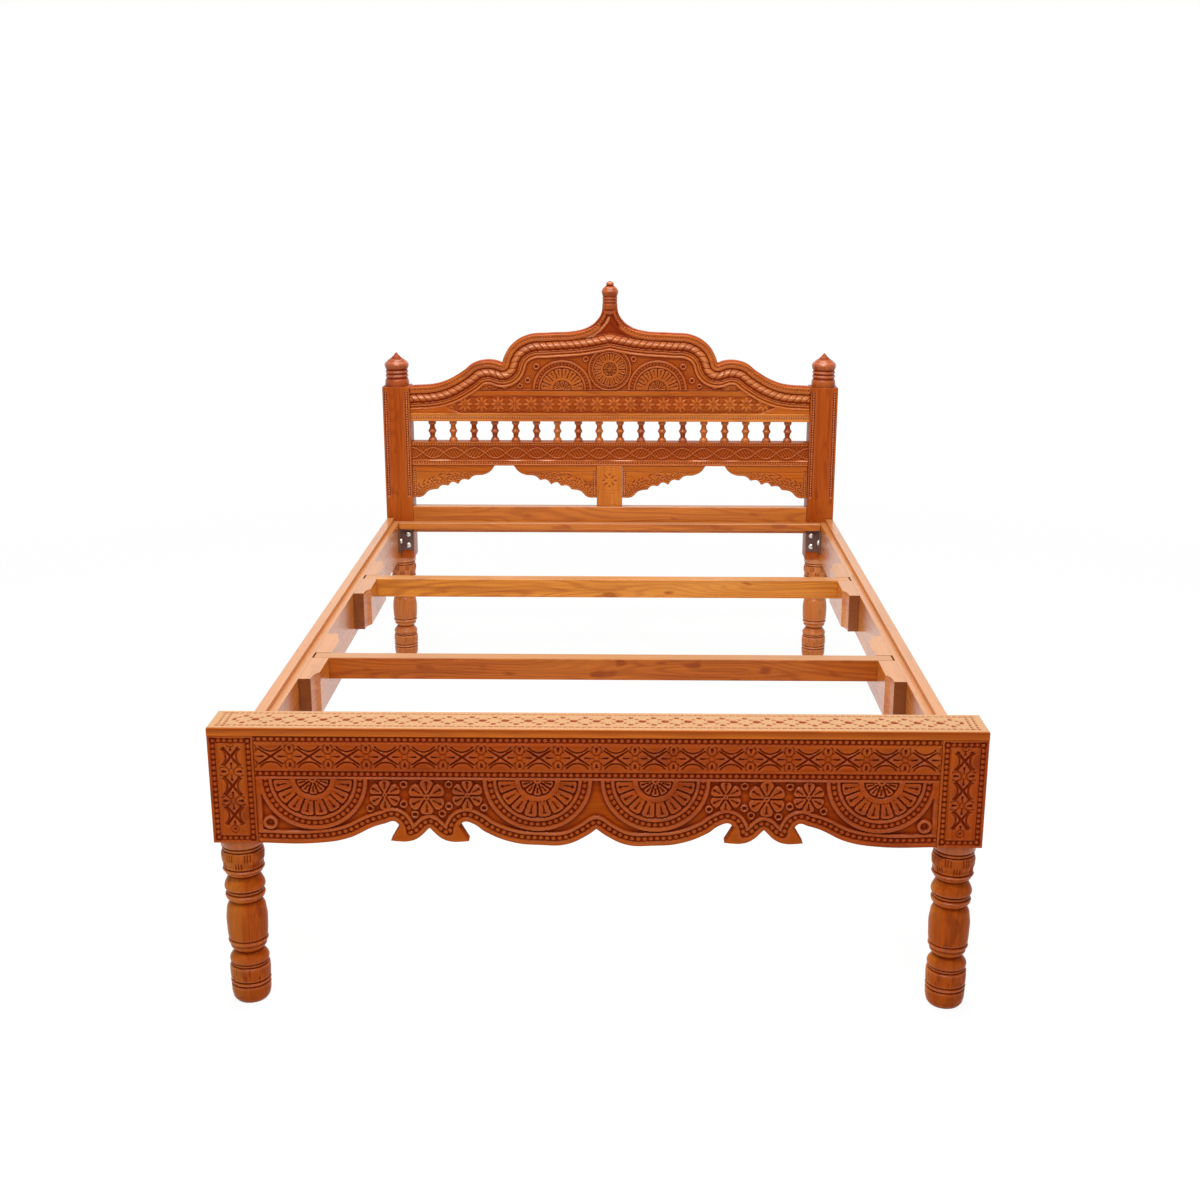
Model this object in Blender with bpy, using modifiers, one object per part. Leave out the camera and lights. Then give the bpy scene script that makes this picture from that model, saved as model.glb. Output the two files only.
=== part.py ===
"""Carved teak bed: turned posts, a scalloped foot rail, an arched headboard and drop-in cross slats."""
import math

import bmesh
import bpy
from mathutils import Matrix, Vector

# Overall sizes, in metres, with the foot end facing -Y and the floor at Z = 0
BED_WIDTH = 1.320
BED_LENGTH = 2.100
POST_SIDE = 0.078

# Fits and small edges
GAP = 0.0003
FIT = 0.0005
WELD = 0.00002
SOFT_EDGE = 0.0015
TENON_LENGTH = 0.030
TENON_THICK = 0.012
TENON_SHOULDER = 0.012
TENON_ROOT = 0.006
STUB_LENGTH = 0.012

# Foot end
LEG_HEIGHT = 0.315
FOOT_CAP_TOP = 0.527
FOOT_CAP_THICK = 0.0155
FOOT_CAP_OVERHANG = 0.007
FOOT_RAIL_THICK = 0.022
FOOT_RAIL_LIFT = 0.0005
SCALLOP_RISE = 0.045

# Side rails, ledges and slats
RAIL_THICK = 0.038
RAIL_TOP = 0.438
RAIL_HEIGHT = 0.120
REBATE_WIDTH = 0.016
REBATE_DEPTH = 0.010
STUB_THICK = 0.018
LEDGE_DEPTH = 0.025
LEDGE_HEIGHT = 0.020
SLAT_WIDTH = 0.035
SLAT_HEIGHT = 0.048
SLAT_PLAY = 0.0008
SLAT_END_PLAY = 0.003
FRONT_SLAT_REACH = 0.6345
SLAT_SPACING = 0.660
HOUSING_LENGTH = 0.320
HOUSING_HEIGHT = 0.092
HOUSING_THICK = 0.036
HOUSING_TIP_THICK = 0.025
HOUSING_COVE = 0.045
HOUSING_COVE_START = 0.018
HOUSING_COVE_RISE = 0.0022

# Head end, from the underside of the lower rail up
LOWER_RAIL_BOTTOM = 0.395
LOWER_RAIL_HEIGHT = 0.078
ARCH_HEIGHT = 0.121
MID_RAIL_HEIGHT = 0.069
SPINDLE_OPENING = 0.062
GALLERY_HEIGHT = 0.024
CREST_END_HEIGHT = 0.076
CREST_RISE = 0.223
CREST_TONGUE_DROP = 0.022

# Head end, depths and widths
HEADBOARD_SETBACK = 0.008
LOWER_RAIL_THICK = 0.030
MID_RAIL_THICK = 0.044
GALLERY_THICK = 0.046
GALLERY_SHOULDER = 0.006
CREST_THICK = 0.044
STILE_WIDTH = 0.075
STILE_THICK = 0.030
SPANDREL_THICK = 0.022
SPANDREL_SETBACK = 0.010
SPANDREL_DROP = 0.095
ARCH_FLAT = 0.057
SPINDLE_COUNT = 18
SPINDLE_RADIUS = 0.0129
PIN_RADIUS = 0.005
PIN_LENGTH = 0.011
FINIAL_RADIUS = 0.0243
FINIAL_PIN_RADIUS = 0.007
FINIAL_PIN_LENGTH = 0.028

# Corner brackets and bolts
BRACKET_HEIGHT = 0.065
BRACKET_RAIL_LEG = 0.046
BRACKET_THICK = 0.004
BRACKET_BEND = 0.003
BRACKET_DROP = 0.0025
BOLT_HEAD_RADIUS = 0.0083
BOLT_HEAD_HEIGHT = 0.0055
BOLT_RADIUS = 0.004
BOLT_LENGTH = 0.036
RAIL_BOLT_LENGTH = 0.026
BOLT_PITCH = 0.033
BOLT_OFFSET = 0.024
# Bolt head: (share of its height, share of its radius)
BOLT_HEAD_TURNING = ((1.00, 0.0), (0.85, 0.7), (0.40, 1.0), (0.00, 1.0))

# Facets
TURNED_SIDES = 14
SPINDLE_SIDES = 8
BOLT_SIDES = 8
CURVE_STEPS = 3

# Turned members of the leg: (drop below the square block, depth turned off the square)
LEG_UPPER_TURNING = (
    (0.0245, 0.0020), (0.0275, 0.0055), (0.0330, 0.0043), (0.0370, 0.0056),
    (0.0400, 0.0025), (0.0570, 0.0026), (0.0600, 0.0050), (0.0650, 0.0024), (0.0700, 0.0050),
    (0.0800, 0.0110), (0.0870, 0.0070), (0.0950, 0.0032), (0.1070, 0.0060),
    (0.1210, 0.0036), (0.1305, 0.0094),
)
# Lower members: (height above the floor, depth turned off the square)
LEG_LOWER_TURNING = (
    (0.1680, 0.0046), (0.1510, 0.0031), (0.1330, 0.0038), (0.1185, 0.0060), (0.1150, 0.0045),
    (0.1105, 0.0062), (0.1060, 0.0045), (0.1010, 0.0085), (0.0957, 0.0132),
    (0.0800, 0.0050), (0.0700, 0.0070), (0.0630, 0.0050), (0.0580, 0.0066), (0.0550, 0.0044),
    (0.0380, 0.0046), (0.0340, 0.0066), (0.0290, 0.0051), (0.0240, 0.0064), (0.0170, 0.0055),
    (0.0060, 0.0075), (0.0000, 0.0120),
)
# Head post finial: (height above the shoulder, radius lost from the square), then its pointed tip
POST_FINIAL_TURNING = (
    (0.0860, 0.0290), (0.0840, 0.0240), (0.0750, 0.0160), (0.0680, 0.0065), (0.0610, 0.0040),
    (0.0530, 0.0055), (0.0490, 0.0075), (0.0430, 0.0050), (0.0370, 0.0052), (0.0330, 0.0075),
    (0.0270, 0.0050), (0.0200, 0.0030),
)
POST_FINIAL_TIP = 0.097
# Crest finial: (height above the crest, radius lost from its bulb), then its tip
CREST_FINIAL_TURNING = (
    (0.0755, 0.0160), (0.0715, 0.0135), (0.0680, 0.0130), (0.0660, 0.0150), (0.0580, 0.0050),
    (0.0490, 0.0000), (0.0400, 0.0022), (0.0345, 0.0045), (0.0300, 0.0025), (0.0260, 0.0045),
    (0.0215, 0.0025), (0.0170, 0.0045), (0.0120, 0.0023), (GAP, 0.0023),
)
CREST_FINIAL_TIP = 0.078
# Gallery spindle: (share of its height from the top, radius lost from its flared foot)
SPINDLE_TURNING = (
    (0.00, 0.0016), (0.13, 0.0016), (0.24, 0.0062), (0.38, 0.0050), (0.50, 0.0006), (0.62, 0.0050),
    (0.77, 0.0062), (0.90, 0.0004), (1.00, 0.0000),
)

# Curve knots
SMOOTH = "AUTO"
CORNER = "VECTOR"

# Foot rail edge on half the opening: (share of the half width, share of the scallop's rise, knot)
FOOT_EDGE_CENTRE = (
    (0.000, 0.68, CORNER), (0.030, 0.39, SMOOTH), (0.090, 0.03, SMOOTH), (0.165, 0.00, SMOOTH),
    (0.245, 0.10, SMOOTH), (0.325, 0.51, SMOOTH),
)
# Near half of the barbed drop, then the knot at its middle, then the scallop at the post
FOOT_EDGE_DROP = (
    (0.362, 0.85, SMOOTH), (0.389, 0.94, SMOOTH), (0.405, 0.77, CORNER), (0.377, 0.27, SMOOTH),
    (0.383, 0.15, SMOOTH), (0.400, 0.11, SMOOTH), (0.427, 0.11, SMOOTH), (0.455, 0.23, SMOOTH),
)
FOOT_EDGE_DROP_CENTRE = (0.4925, 0.68, CORNER)
FOOT_EDGE_END = (
    (0.655, 0.72, SMOOTH), (0.735, 0.23, SMOOTH), (0.830, 0.02, SMOOTH), (1.000, 0.02, CORNER),
)

# Crest edge on half the opening: (share of the half width, share of the rise above the shoulder, knot)
CREST_EDGE = (
    (1.000, 0.000, CORNER), (0.849, 0.043, SMOOTH), (0.734, 0.195, SMOOTH), (0.687, 0.290, SMOOTH),
    (0.630, 0.337, SMOOTH), (0.572, 0.333, SMOOTH), (0.536, 0.302, CORNER), (0.524, 0.400, SMOOTH),
    (0.490, 0.535, SMOOTH), (0.411, 0.659, SMOOTH), (0.300, 0.688, SMOOTH), (0.165, 0.713, SMOOTH),
    (0.103, 0.767, SMOOTH), (0.059, 0.865, SMOOTH), (0.041, 0.950, SMOOTH), (0.038, 1.000, CORNER),
)

# Spandrel edge: (share of its width from the upright, share of its drop above the foot, knot)
SPANDREL_EDGE = (
    (0.000, 0.00, CORNER), (0.110, 0.02, SMOOTH), (0.200, 0.21, SMOOTH), (0.304, 0.26, CORNER),
    (0.350, 0.37, SMOOTH), (0.433, 0.37, CORNER), (0.480, 0.48, SMOOTH), (0.554, 0.42, CORNER),
    (0.605, 0.56, SMOOTH), (0.684, 0.55, CORNER), (0.740, 0.67, SMOOTH), (0.870, 0.72, SMOOTH),
    (0.950, 0.83, SMOOTH), (1.000, 1.00, CORNER),
)

# Places worked out from the sizes
HALF_WIDTH = BED_WIDTH / 2
HALF_OPENING = HALF_WIDTH - POST_SIDE
POST_X = HALF_WIDTH - POST_SIDE / 2
FOOT_FRONT_Y = -BED_LENGTH / 2
FOOT_POST_BACK_Y = FOOT_FRONT_Y + POST_SIDE
HEAD_BACK_Y = BED_LENGTH / 2
HEAD_FRONT_Y = HEAD_BACK_Y - POST_SIDE
RAIL_IN_X = HALF_WIDTH - RAIL_THICK
RAIL_BOTTOM = RAIL_TOP - RAIL_HEIGHT
LEDGE_Z = RAIL_TOP - REBATE_DEPTH
FOOT_CAP_BOTTOM = FOOT_CAP_TOP - FOOT_CAP_THICK
FOOT_RAIL_BACK_Y = FOOT_FRONT_Y + FOOT_RAIL_THICK
LOWER_RAIL_TOP = LOWER_RAIL_BOTTOM + LOWER_RAIL_HEIGHT
MID_RAIL_BOTTOM = LOWER_RAIL_TOP + ARCH_HEIGHT
MID_RAIL_TOP = MID_RAIL_BOTTOM + MID_RAIL_HEIGHT
GALLERY_BOTTOM = MID_RAIL_TOP + SPINDLE_OPENING
GALLERY_TOP = GALLERY_BOTTOM + GALLERY_HEIGHT
SHOULDER_Z = GALLERY_TOP + CREST_END_HEIGHT
CREST_TOP = SHOULDER_Z + CREST_RISE
BOARD_FRONT_Y = HEAD_FRONT_Y + HEADBOARD_SETBACK
SLAT_BOTTOM = LEDGE_Z - SLAT_HEIGHT
SLAT_HALF_LENGTH = RAIL_IN_X - SLAT_END_PLAY
SIDES = {"left": -1, "right": 1}


def new_collection(name):
    """A collection linked to the scene."""
    collection = bpy.data.collections.new(name)
    bpy.context.scene.collection.children.link(collection)
    return collection


def new_finish(name, colour, roughness, metallic):
    """A plain Principled BSDF finish."""
    finish = bpy.data.materials.new(name)
    finish.use_nodes = True
    shader = finish.node_tree.nodes["Principled BSDF"]
    shader.inputs["Base Color"].default_value = (*colour, 1.0)
    shader.inputs["Roughness"].default_value = roughness
    shader.inputs["Metallic"].default_value = metallic
    return finish


for old in list(bpy.data.objects):
    bpy.data.objects.remove(old, do_unlink=True)

bed_parts = new_collection("carved_teak_bed")
bed_tools = new_collection("carved_teak_bed_tools")
bed = bpy.data.objects.new("bed", None)
bed_parts.objects.link(bed)

CARVED_TEAK = new_finish("carved_teak", (0.36, 0.098, 0.022), 0.34, 0.0)
PLAIN_TEAK = new_finish("plain_teak", (0.46, 0.158, 0.042), 0.32, 0.0)
BRACKET_PAINT = new_finish("bracket_paint", (0.060, 0.026, 0.020), 0.45, 0.0)
BOLT_ZINC = new_finish("bolt_zinc", (0.72, 0.68, 0.60), 0.35, 1.0)


def mesh_from(name, shape):
    """Close a bmesh into a mesh with its faces pointing out."""
    bmesh.ops.recalc_face_normals(shape, faces=shape.faces)
    mesh = bpy.data.meshes.new(name)
    shape.to_mesh(mesh)
    shape.free()
    return mesh


def add_box(shape, low, high):
    """Add a block between two corners."""
    low, high = Vector(low), Vector(high)
    size = high - low
    place = Matrix.Translation((low + high) / 2) @ Matrix.Diagonal((*size, 1.0))
    bmesh.ops.create_cube(shape, size=1.0, matrix=place)


def hole_radius(radius, sides):
    """Radius of a faceted hole that clears a round pin."""
    return (radius + FIT) / math.cos(math.pi / sides)


def add_rod(shape, start, end, radius, sides):
    """Add a round rod between two points."""
    start, end = Vector(start), Vector(end)
    turn = (end - start).to_track_quat("Z", "Y").to_matrix().to_4x4()
    place = Matrix.Translation((start + end) / 2) @ turn
    length = (end - start).length
    bmesh.ops.create_cone(
        shape, cap_ends=True, segments=sides, radius1=radius, radius2=radius, depth=length, matrix=place
    )


def add_piece(name, mesh, finish, origin=(0.0, 0.0, 0.0)):
    """Link a mesh as a named piece of the bed, with its origin at a point of its own."""
    mesh.transform(Matrix.Translation(-Vector(origin)))
    mesh.materials.append(finish)
    piece = bpy.data.objects.new(name, mesh)
    piece.location = origin
    piece.parent = bed
    bed_parts.objects.link(piece)
    return piece


def add_tool(name, mesh):
    """Link a mesh as a hidden tool body for a Boolean."""
    tool = bpy.data.objects.new(name, mesh)
    tool.hide_render = True
    tool.display_type = "WIRE"
    bed_tools.objects.link(tool)
    return tool


def block_tool(name, boxes=(), rods=(), sides=BOLT_SIDES):
    """A tool made of separate blocks and round rods."""
    shape = bmesh.new()
    for low, high in boxes:
        add_box(shape, low, high)
    for start, end, radius in rods:
        add_rod(shape, start, end, radius, sides)
    return add_tool(name, mesh_from(name, shape))


def combine(piece, operation, tool):
    """Join a tool to a piece, or cut it out."""
    step = piece.modifiers.new(tool.name, "BOOLEAN")
    step.operation = operation
    step.object = tool
    step.solver = "EXACT"


def soften(piece):
    """Take the sharp edges off a sawn timber."""
    bevel = piece.modifiers.new("soft_edges", "BEVEL")
    bevel.width = SOFT_EDGE
    bevel.segments = 1
    bevel.limit_method = "ANGLE"


def timber(name, low, high, finish):
    """A squared timber between two corners, its origin at its centre."""
    shape = bmesh.new()
    add_box(shape, low, high)
    centre = (Vector(low) + Vector(high)) / 2
    piece = add_piece(name, mesh_from(name, shape), finish, centre)
    soften(piece)
    return piece


def grown(box):
    """A block with clearance added all round."""
    margin = Vector((FIT, FIT, FIT))
    return Vector(box[0]) - margin, Vector(box[1]) + margin


def ordered(corner_a, corner_b):
    """The low and high corners of the block between two points."""
    low = [min(pair) for pair in zip(corner_a, corner_b)]
    high = [max(pair) for pair in zip(corner_a, corner_b)]
    return low, high


def turn_on_lathe(carrier, sides):
    """Revolve a profile about Z into a closed turned body."""
    lathe = carrier.modifiers.new("lathe", "SCREW")
    lathe.axis = "Z"
    lathe.angle = 2 * math.pi
    lathe.steps = sides
    lathe.render_steps = sides
    lathe.use_merge_vertices = True
    lathe.merge_threshold = WELD
    lathe.use_smooth_shade = True


def profile_mesh(name, profile):
    """A lathe profile of (radius, height) points, listed from the top down."""
    mesh = bpy.data.meshes.new(name)
    points = [(radius, 0.0, height) for radius, height in profile]
    edges = [(index, index + 1) for index in range(len(points) - 1)]
    mesh.from_pydata(points, edges, [])
    return mesh


def outline_mesh(name, knots, half_depth, upright):
    """A board of a closed outline: a 2D curve drawn out into a wall, upright in XZ or flat in XY, then faced."""
    curve = bpy.data.curves.new(name, "CURVE")
    curve.dimensions = "2D"
    curve.fill_mode = "NONE"
    curve.extrude = half_depth
    curve.resolution_u = CURVE_STEPS
    spline = curve.splines.new("BEZIER")
    spline.bezier_points.add(len(knots) - 1)
    spline.use_cyclic_u = True
    for knot, (across, along, kind) in zip(spline.bezier_points, knots):
        knot.handle_left_type = kind
        knot.handle_right_type = kind
        knot.co = (across, along, 0.0)
    carrier = bpy.data.objects.new(name, curve)
    if upright:
        carrier.rotation_euler.x = math.pi / 2
    bed_tools.objects.link(carrier)
    bpy.context.view_layer.update()
    graph = bpy.context.evaluated_depsgraph_get()
    mesh = bpy.data.meshes.new_from_object(carrier.evaluated_get(graph))
    mesh.transform(carrier.matrix_world)
    bpy.data.objects.remove(carrier, do_unlink=True)
    shape = bmesh.new()
    shape.from_mesh(mesh)
    bpy.data.meshes.remove(mesh)
    bmesh.ops.remove_doubles(shape, verts=shape.verts, dist=WELD)
    rims = [edge for edge in shape.edges if edge.is_boundary]
    bmesh.ops.holes_fill(shape, edges=rims, sides=0)
    return mesh_from(name, shape)


def upright_board(name, knots, front_y, thick, finish):
    """An outlined board standing in XZ, with its front face at front_y."""
    mesh = outline_mesh(name, knots, thick / 2, upright=True)
    mesh.transform(Matrix.Translation((0.0, front_y + thick / 2, 0.0)))
    return add_piece(name, mesh, finish, (0.0, front_y + thick / 2, 0.0))


def mirrored(knots):
    """Add the other half of an outline, mirrored in X and run back the other way."""
    return [*knots, *((-across, along, kind) for across, along, kind in reversed(knots))]


def cross_tenon(side, y_mid, bottom, top):
    """The tenon of a cross rail into a post, rooted in the rail's end."""
    root = (side * (HALF_OPENING - TENON_ROOT), y_mid - TENON_THICK / 2, bottom)
    tip = (side * (HALF_OPENING + TENON_LENGTH), y_mid + TENON_THICK / 2, top)
    return ordered(root, tip)


def foot_tenon(side):
    """Tenon of the foot rail."""
    y_mid = FOOT_FRONT_Y + FOOT_RAIL_THICK / 2
    bottom = LEG_HEIGHT + FOOT_RAIL_LIFT + SCALLOP_RISE
    return cross_tenon(side, y_mid, bottom, FOOT_CAP_BOTTOM - TENON_SHOULDER)


def lower_rail_tenon(side):
    """Tenon of the lower head rail."""
    y_mid = HEAD_FRONT_Y + LOWER_RAIL_THICK / 2
    return cross_tenon(side, y_mid, LOWER_RAIL_BOTTOM + TENON_SHOULDER, LOWER_RAIL_TOP - TENON_SHOULDER)


def mid_rail_tenon(side):
    """Tenon of the mid rail."""
    y_mid = BOARD_FRONT_Y + MID_RAIL_THICK / 2
    return cross_tenon(side, y_mid, MID_RAIL_BOTTOM + TENON_SHOULDER, MID_RAIL_TOP - TENON_SHOULDER)


def gallery_tenon(side):
    """Tenon of the gallery top rail."""
    y_mid = BOARD_FRONT_Y + GALLERY_THICK / 2
    return cross_tenon(side, y_mid, GALLERY_BOTTOM + GALLERY_SHOULDER, GALLERY_TOP - GALLERY_SHOULDER)


def crest_tenon(side):
    """Tongue at each end of the crest panel."""
    y_mid = BOARD_FRONT_Y + CREST_THICK / 2
    return cross_tenon(side, y_mid, GALLERY_TOP + TENON_SHOULDER, SHOULDER_Z - CREST_TONGUE_DROP)


def side_stub(side, end_y, towards):
    """Stub tenon on the end of a side rail, pointing along Y."""
    x_mid = side * (HALF_WIDTH - RAIL_THICK / 2)
    root = (x_mid - STUB_THICK / 2, end_y - towards * TENON_ROOT, RAIL_BOTTOM + TENON_SHOULDER)
    tip = (x_mid + STUB_THICK / 2, end_y + towards * STUB_LENGTH, LEDGE_Z - TENON_SHOULDER)
    return ordered(root, tip)


def stile_stub(joint_z, towards):
    """Stub tenon on the end of the centre stile, pointing along Z."""
    y_mid = BOARD_FRONT_Y + STILE_THICK / 2
    half_width = STILE_WIDTH / 2 - TENON_SHOULDER
    root = (-half_width, y_mid - TENON_THICK / 2, joint_z - towards * TENON_ROOT)
    tip = (half_width, y_mid + TENON_THICK / 2, joint_z + towards * STUB_LENGTH)
    return ordered(root, tip)


def bracket_levels():
    """Bottom and top of the corner brackets, just under the head ledge."""
    top = LEDGE_Z - LEDGE_HEIGHT - BRACKET_DROP
    return top - BRACKET_HEIGHT, top


def post_bolt_points(side, face_y):
    """Where the two bolts of a bracket enter a post face."""
    bottom, top = bracket_levels()
    middle = (bottom + top) / 2
    across = side * (RAIL_IN_X - BOLT_OFFSET)
    return [(across, face_y, middle + step * BOLT_PITCH / 2) for step in (1, -1)]


def rail_bolt_point(side, face_y, towards):
    """Where the bolt of a bracket enters the inner face of a side rail."""
    bottom, top = bracket_levels()
    return (side * RAIL_IN_X, face_y + towards * BOLT_OFFSET, (bottom + top) / 2)


def bolt_hole(point, direction, depth):
    """A hole for a bolt shank, open at the face."""
    start = Vector(point) - Vector(direction) * (BRACKET_THICK * 2)
    end = Vector(point) + Vector(direction) * (depth + FIT)
    return start, end, hole_radius(BOLT_RADIUS, BOLT_SIDES)


def turned_leg(name, x, y):
    """Tool body of a turned leg, run up into the square block above it."""
    half = POST_SIDE / 2
    collar_radius = half - LEG_UPPER_TURNING[0][1]
    profile = [(0.0, LEG_HEIGHT + TENON_ROOT), (collar_radius, LEG_HEIGHT + TENON_ROOT)]
    profile += [(half - depth, LEG_HEIGHT - drop) for drop, depth in LEG_UPPER_TURNING]
    profile += [(half - depth, height) for height, depth in LEG_LOWER_TURNING]
    profile.append((0.0, 0.0))
    leg = add_tool(name, profile_mesh(name, profile))
    leg.location = (x, y, 0.0)
    turn_on_lathe(leg, TURNED_SIDES)
    return leg


def turned_post_finial(name, x, y):
    """Tool body of a post finial, run down into the square shaft below it."""
    half = POST_SIDE / 2
    profile = [(0.0, SHOULDER_Z + POST_FINIAL_TIP)]
    profile += [(half - depth, SHOULDER_Z + height) for height, depth in POST_FINIAL_TURNING]
    foot_radius = profile[-1][0]
    profile += [(foot_radius, SHOULDER_Z - TENON_ROOT), (0.0, SHOULDER_Z - TENON_ROOT)]
    finial = add_tool(name, profile_mesh(name, profile))
    finial.location = (x, y, 0.0)
    turn_on_lathe(finial, TURNED_SIDES)
    return finial


def square_post(name, side, front_y, top, mortises, bolt_holes):
    """A post of one billet: square shaft, turned leg, mortises and bolt holes."""
    x = side * POST_X
    y = front_y + POST_SIDE / 2
    half = POST_SIDE / 2
    post = timber(name, (x - half, y - half, LEG_HEIGHT), (x + half, y + half, top), CARVED_TEAK)
    combine(post, "UNION", turned_leg(name + "_leg", x, y))
    cutter = block_tool(name + "_mortises", [grown(box) for box in mortises], bolt_holes)
    combine(post, "DIFFERENCE", cutter)
    return post


def make_foot_posts():
    """Two foot posts, under the cap board."""
    for word, side in SIDES.items():
        mortises = [foot_tenon(side), side_stub(side, FOOT_POST_BACK_Y, -1)]
        inward = (0, -1, 0)
        points = post_bolt_points(side, FOOT_POST_BACK_Y)
        holes = [bolt_hole(point, inward, BOLT_LENGTH) for point in points]
        square_post("foot_post_" + word, side, FOOT_FRONT_Y, FOOT_CAP_BOTTOM - GAP, mortises, holes)


def make_head_posts():
    """Two head posts with their finials."""
    for word, side in SIDES.items():
        mortises = [
            lower_rail_tenon(side), mid_rail_tenon(side), gallery_tenon(side), crest_tenon(side),
            side_stub(side, HEAD_FRONT_Y, 1),
        ]
        points = post_bolt_points(side, HEAD_FRONT_Y)
        holes = [bolt_hole(point, (0, 1, 0), BOLT_LENGTH) for point in points]
        name = "head_post_" + word
        post = square_post(name, side, HEAD_FRONT_Y, SHOULDER_Z, mortises, holes)
        finial = turned_post_finial(name + "_finial", side * POST_X, HEAD_FRONT_Y + POST_SIDE / 2)
        combine(post, "UNION", finial)


def foot_edge_knots():
    """Lower edge of the foot rail from the centre to the post: scallops with a barbed drop between them."""
    middle = FOOT_EDGE_DROP_CENTRE[0]
    far_half = [(2 * middle - share, rise, kind) for share, rise, kind in reversed(FOOT_EDGE_DROP)]
    shares = [*FOOT_EDGE_CENTRE, *FOOT_EDGE_DROP, FOOT_EDGE_DROP_CENTRE, *far_half, *FOOT_EDGE_END]
    bottom = LEG_HEIGHT + FOOT_RAIL_LIFT
    half = HALF_OPENING - GAP
    return [(share * half, bottom + rise * SCALLOP_RISE, kind) for share, rise, kind in shares]


def make_foot_rail():
    """Carved foot rail with its scalloped lower edge and a tenon at each end."""
    lower = foot_edge_knots()
    half = HALF_OPENING - GAP
    top = FOOT_CAP_BOTTOM - GAP
    left_edge = [(-across, along, kind) for across, along, kind in reversed(lower[1:])]
    knots = [*left_edge, *lower, (half, top, CORNER), (-half, top, CORNER)]
    rail = upright_board("foot_rail", knots, FOOT_FRONT_Y, FOOT_RAIL_THICK, CARVED_TEAK)
    tenons = block_tool("foot_rail_tenons", [foot_tenon(side) for side in SIDES.values()])
    combine(rail, "UNION", tenons)


def make_foot_cap():
    """Flat cap board over the foot rail and both foot posts."""
    low = (-HALF_WIDTH, FOOT_FRONT_Y, FOOT_CAP_BOTTOM)
    high = (HALF_WIDTH, FOOT_POST_BACK_Y + FOOT_CAP_OVERHANG, FOOT_CAP_TOP)
    timber("foot_cap", low, high, CARVED_TEAK)


def make_ledges():
    """Battens that carry the bed board at the foot and at the head."""
    bottom = LEDGE_Z - LEDGE_HEIGHT
    foot_half = HALF_OPENING - GAP
    low = (-foot_half, FOOT_RAIL_BACK_Y + GAP, bottom)
    timber("foot_ledge", low, (foot_half, FOOT_RAIL_BACK_Y + GAP + LEDGE_DEPTH, LEDGE_Z), PLAIN_TEAK)
    head_half = RAIL_IN_X - GAP
    low = (-head_half, HEAD_FRONT_Y - GAP - LEDGE_DEPTH, bottom)
    timber("head_ledge", low, (head_half, HEAD_FRONT_Y - GAP, LEDGE_Z), PLAIN_TEAK)


def make_side_rails():
    """Side rails with a rebate for the bed board and a stub tenon at each end."""
    front_y = FOOT_POST_BACK_Y + GAP
    back_y = HEAD_FRONT_Y - GAP
    for word, side in SIDES.items():
        name = "side_rail_" + word
        box = ordered((side * RAIL_IN_X, front_y, RAIL_BOTTOM), (side * HALF_WIDTH, back_y, RAIL_TOP))
        rail = timber(name, *box, PLAIN_TEAK)
        inner = side * (RAIL_IN_X - REBATE_WIDTH)
        outer = side * (RAIL_IN_X + REBATE_WIDTH)
        rebate = ordered(
            (inner, FOOT_FRONT_Y, LEDGE_Z), (outer, HEAD_BACK_Y, RAIL_TOP + REBATE_DEPTH)
        )
        ends = ((FOOT_POST_BACK_Y, 1), (HEAD_FRONT_Y, -1))
        holes = [
            bolt_hole(rail_bolt_point(side, face_y, towards), (side, 0, 0), RAIL_BOLT_LENGTH)
            for face_y, towards in ends
        ]
        combine(rail, "DIFFERENCE", block_tool(name + "_rebate", [rebate], holes))
        stubs = [side_stub(side, FOOT_POST_BACK_Y, -1), side_stub(side, HEAD_FRONT_Y, 1)]
        combine(rail, "UNION", block_tool(name + "_stubs", stubs))


def slat_middles():
    """Middle of each slat along Y, measured from the back of the foot posts."""
    front = FOOT_POST_BACK_Y + FRONT_SLAT_REACH
    return {"front": front, "rear": front + SLAT_SPACING}


def make_slats():
    """Loose cross slats, standing on edge in their housings."""
    for word, middle in slat_middles().items():
        low = (-SLAT_HALF_LENGTH, middle - SLAT_WIDTH / 2, SLAT_BOTTOM + GAP)
        high = (SLAT_HALF_LENGTH, middle + SLAT_WIDTH / 2, LEDGE_Z)
        timber("slat_" + word, low, high, PLAIN_TEAK)


def housing_knots(side, middle):
    """Plan of a slat housing: thick at the slat, coved down to a thinner tip at each end."""
    half = HOUSING_LENGTH / 2
    coved = half - HOUSING_COVE
    cove_knot = (HOUSING_TIP_THICK + HOUSING_COVE_RISE, coved + HOUSING_COVE_START, SMOOTH)
    shape = [
        (0.0, half, CORNER), (HOUSING_TIP_THICK, half, CORNER), cove_knot, (HOUSING_THICK, coved, CORNER),
    ]
    shape += [(depth, -along, kind) for depth, along, kind in reversed(shape)]
    face = RAIL_IN_X - GAP
    return [(side * (face - depth), middle + along, kind) for depth, along, kind in shape]


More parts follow.
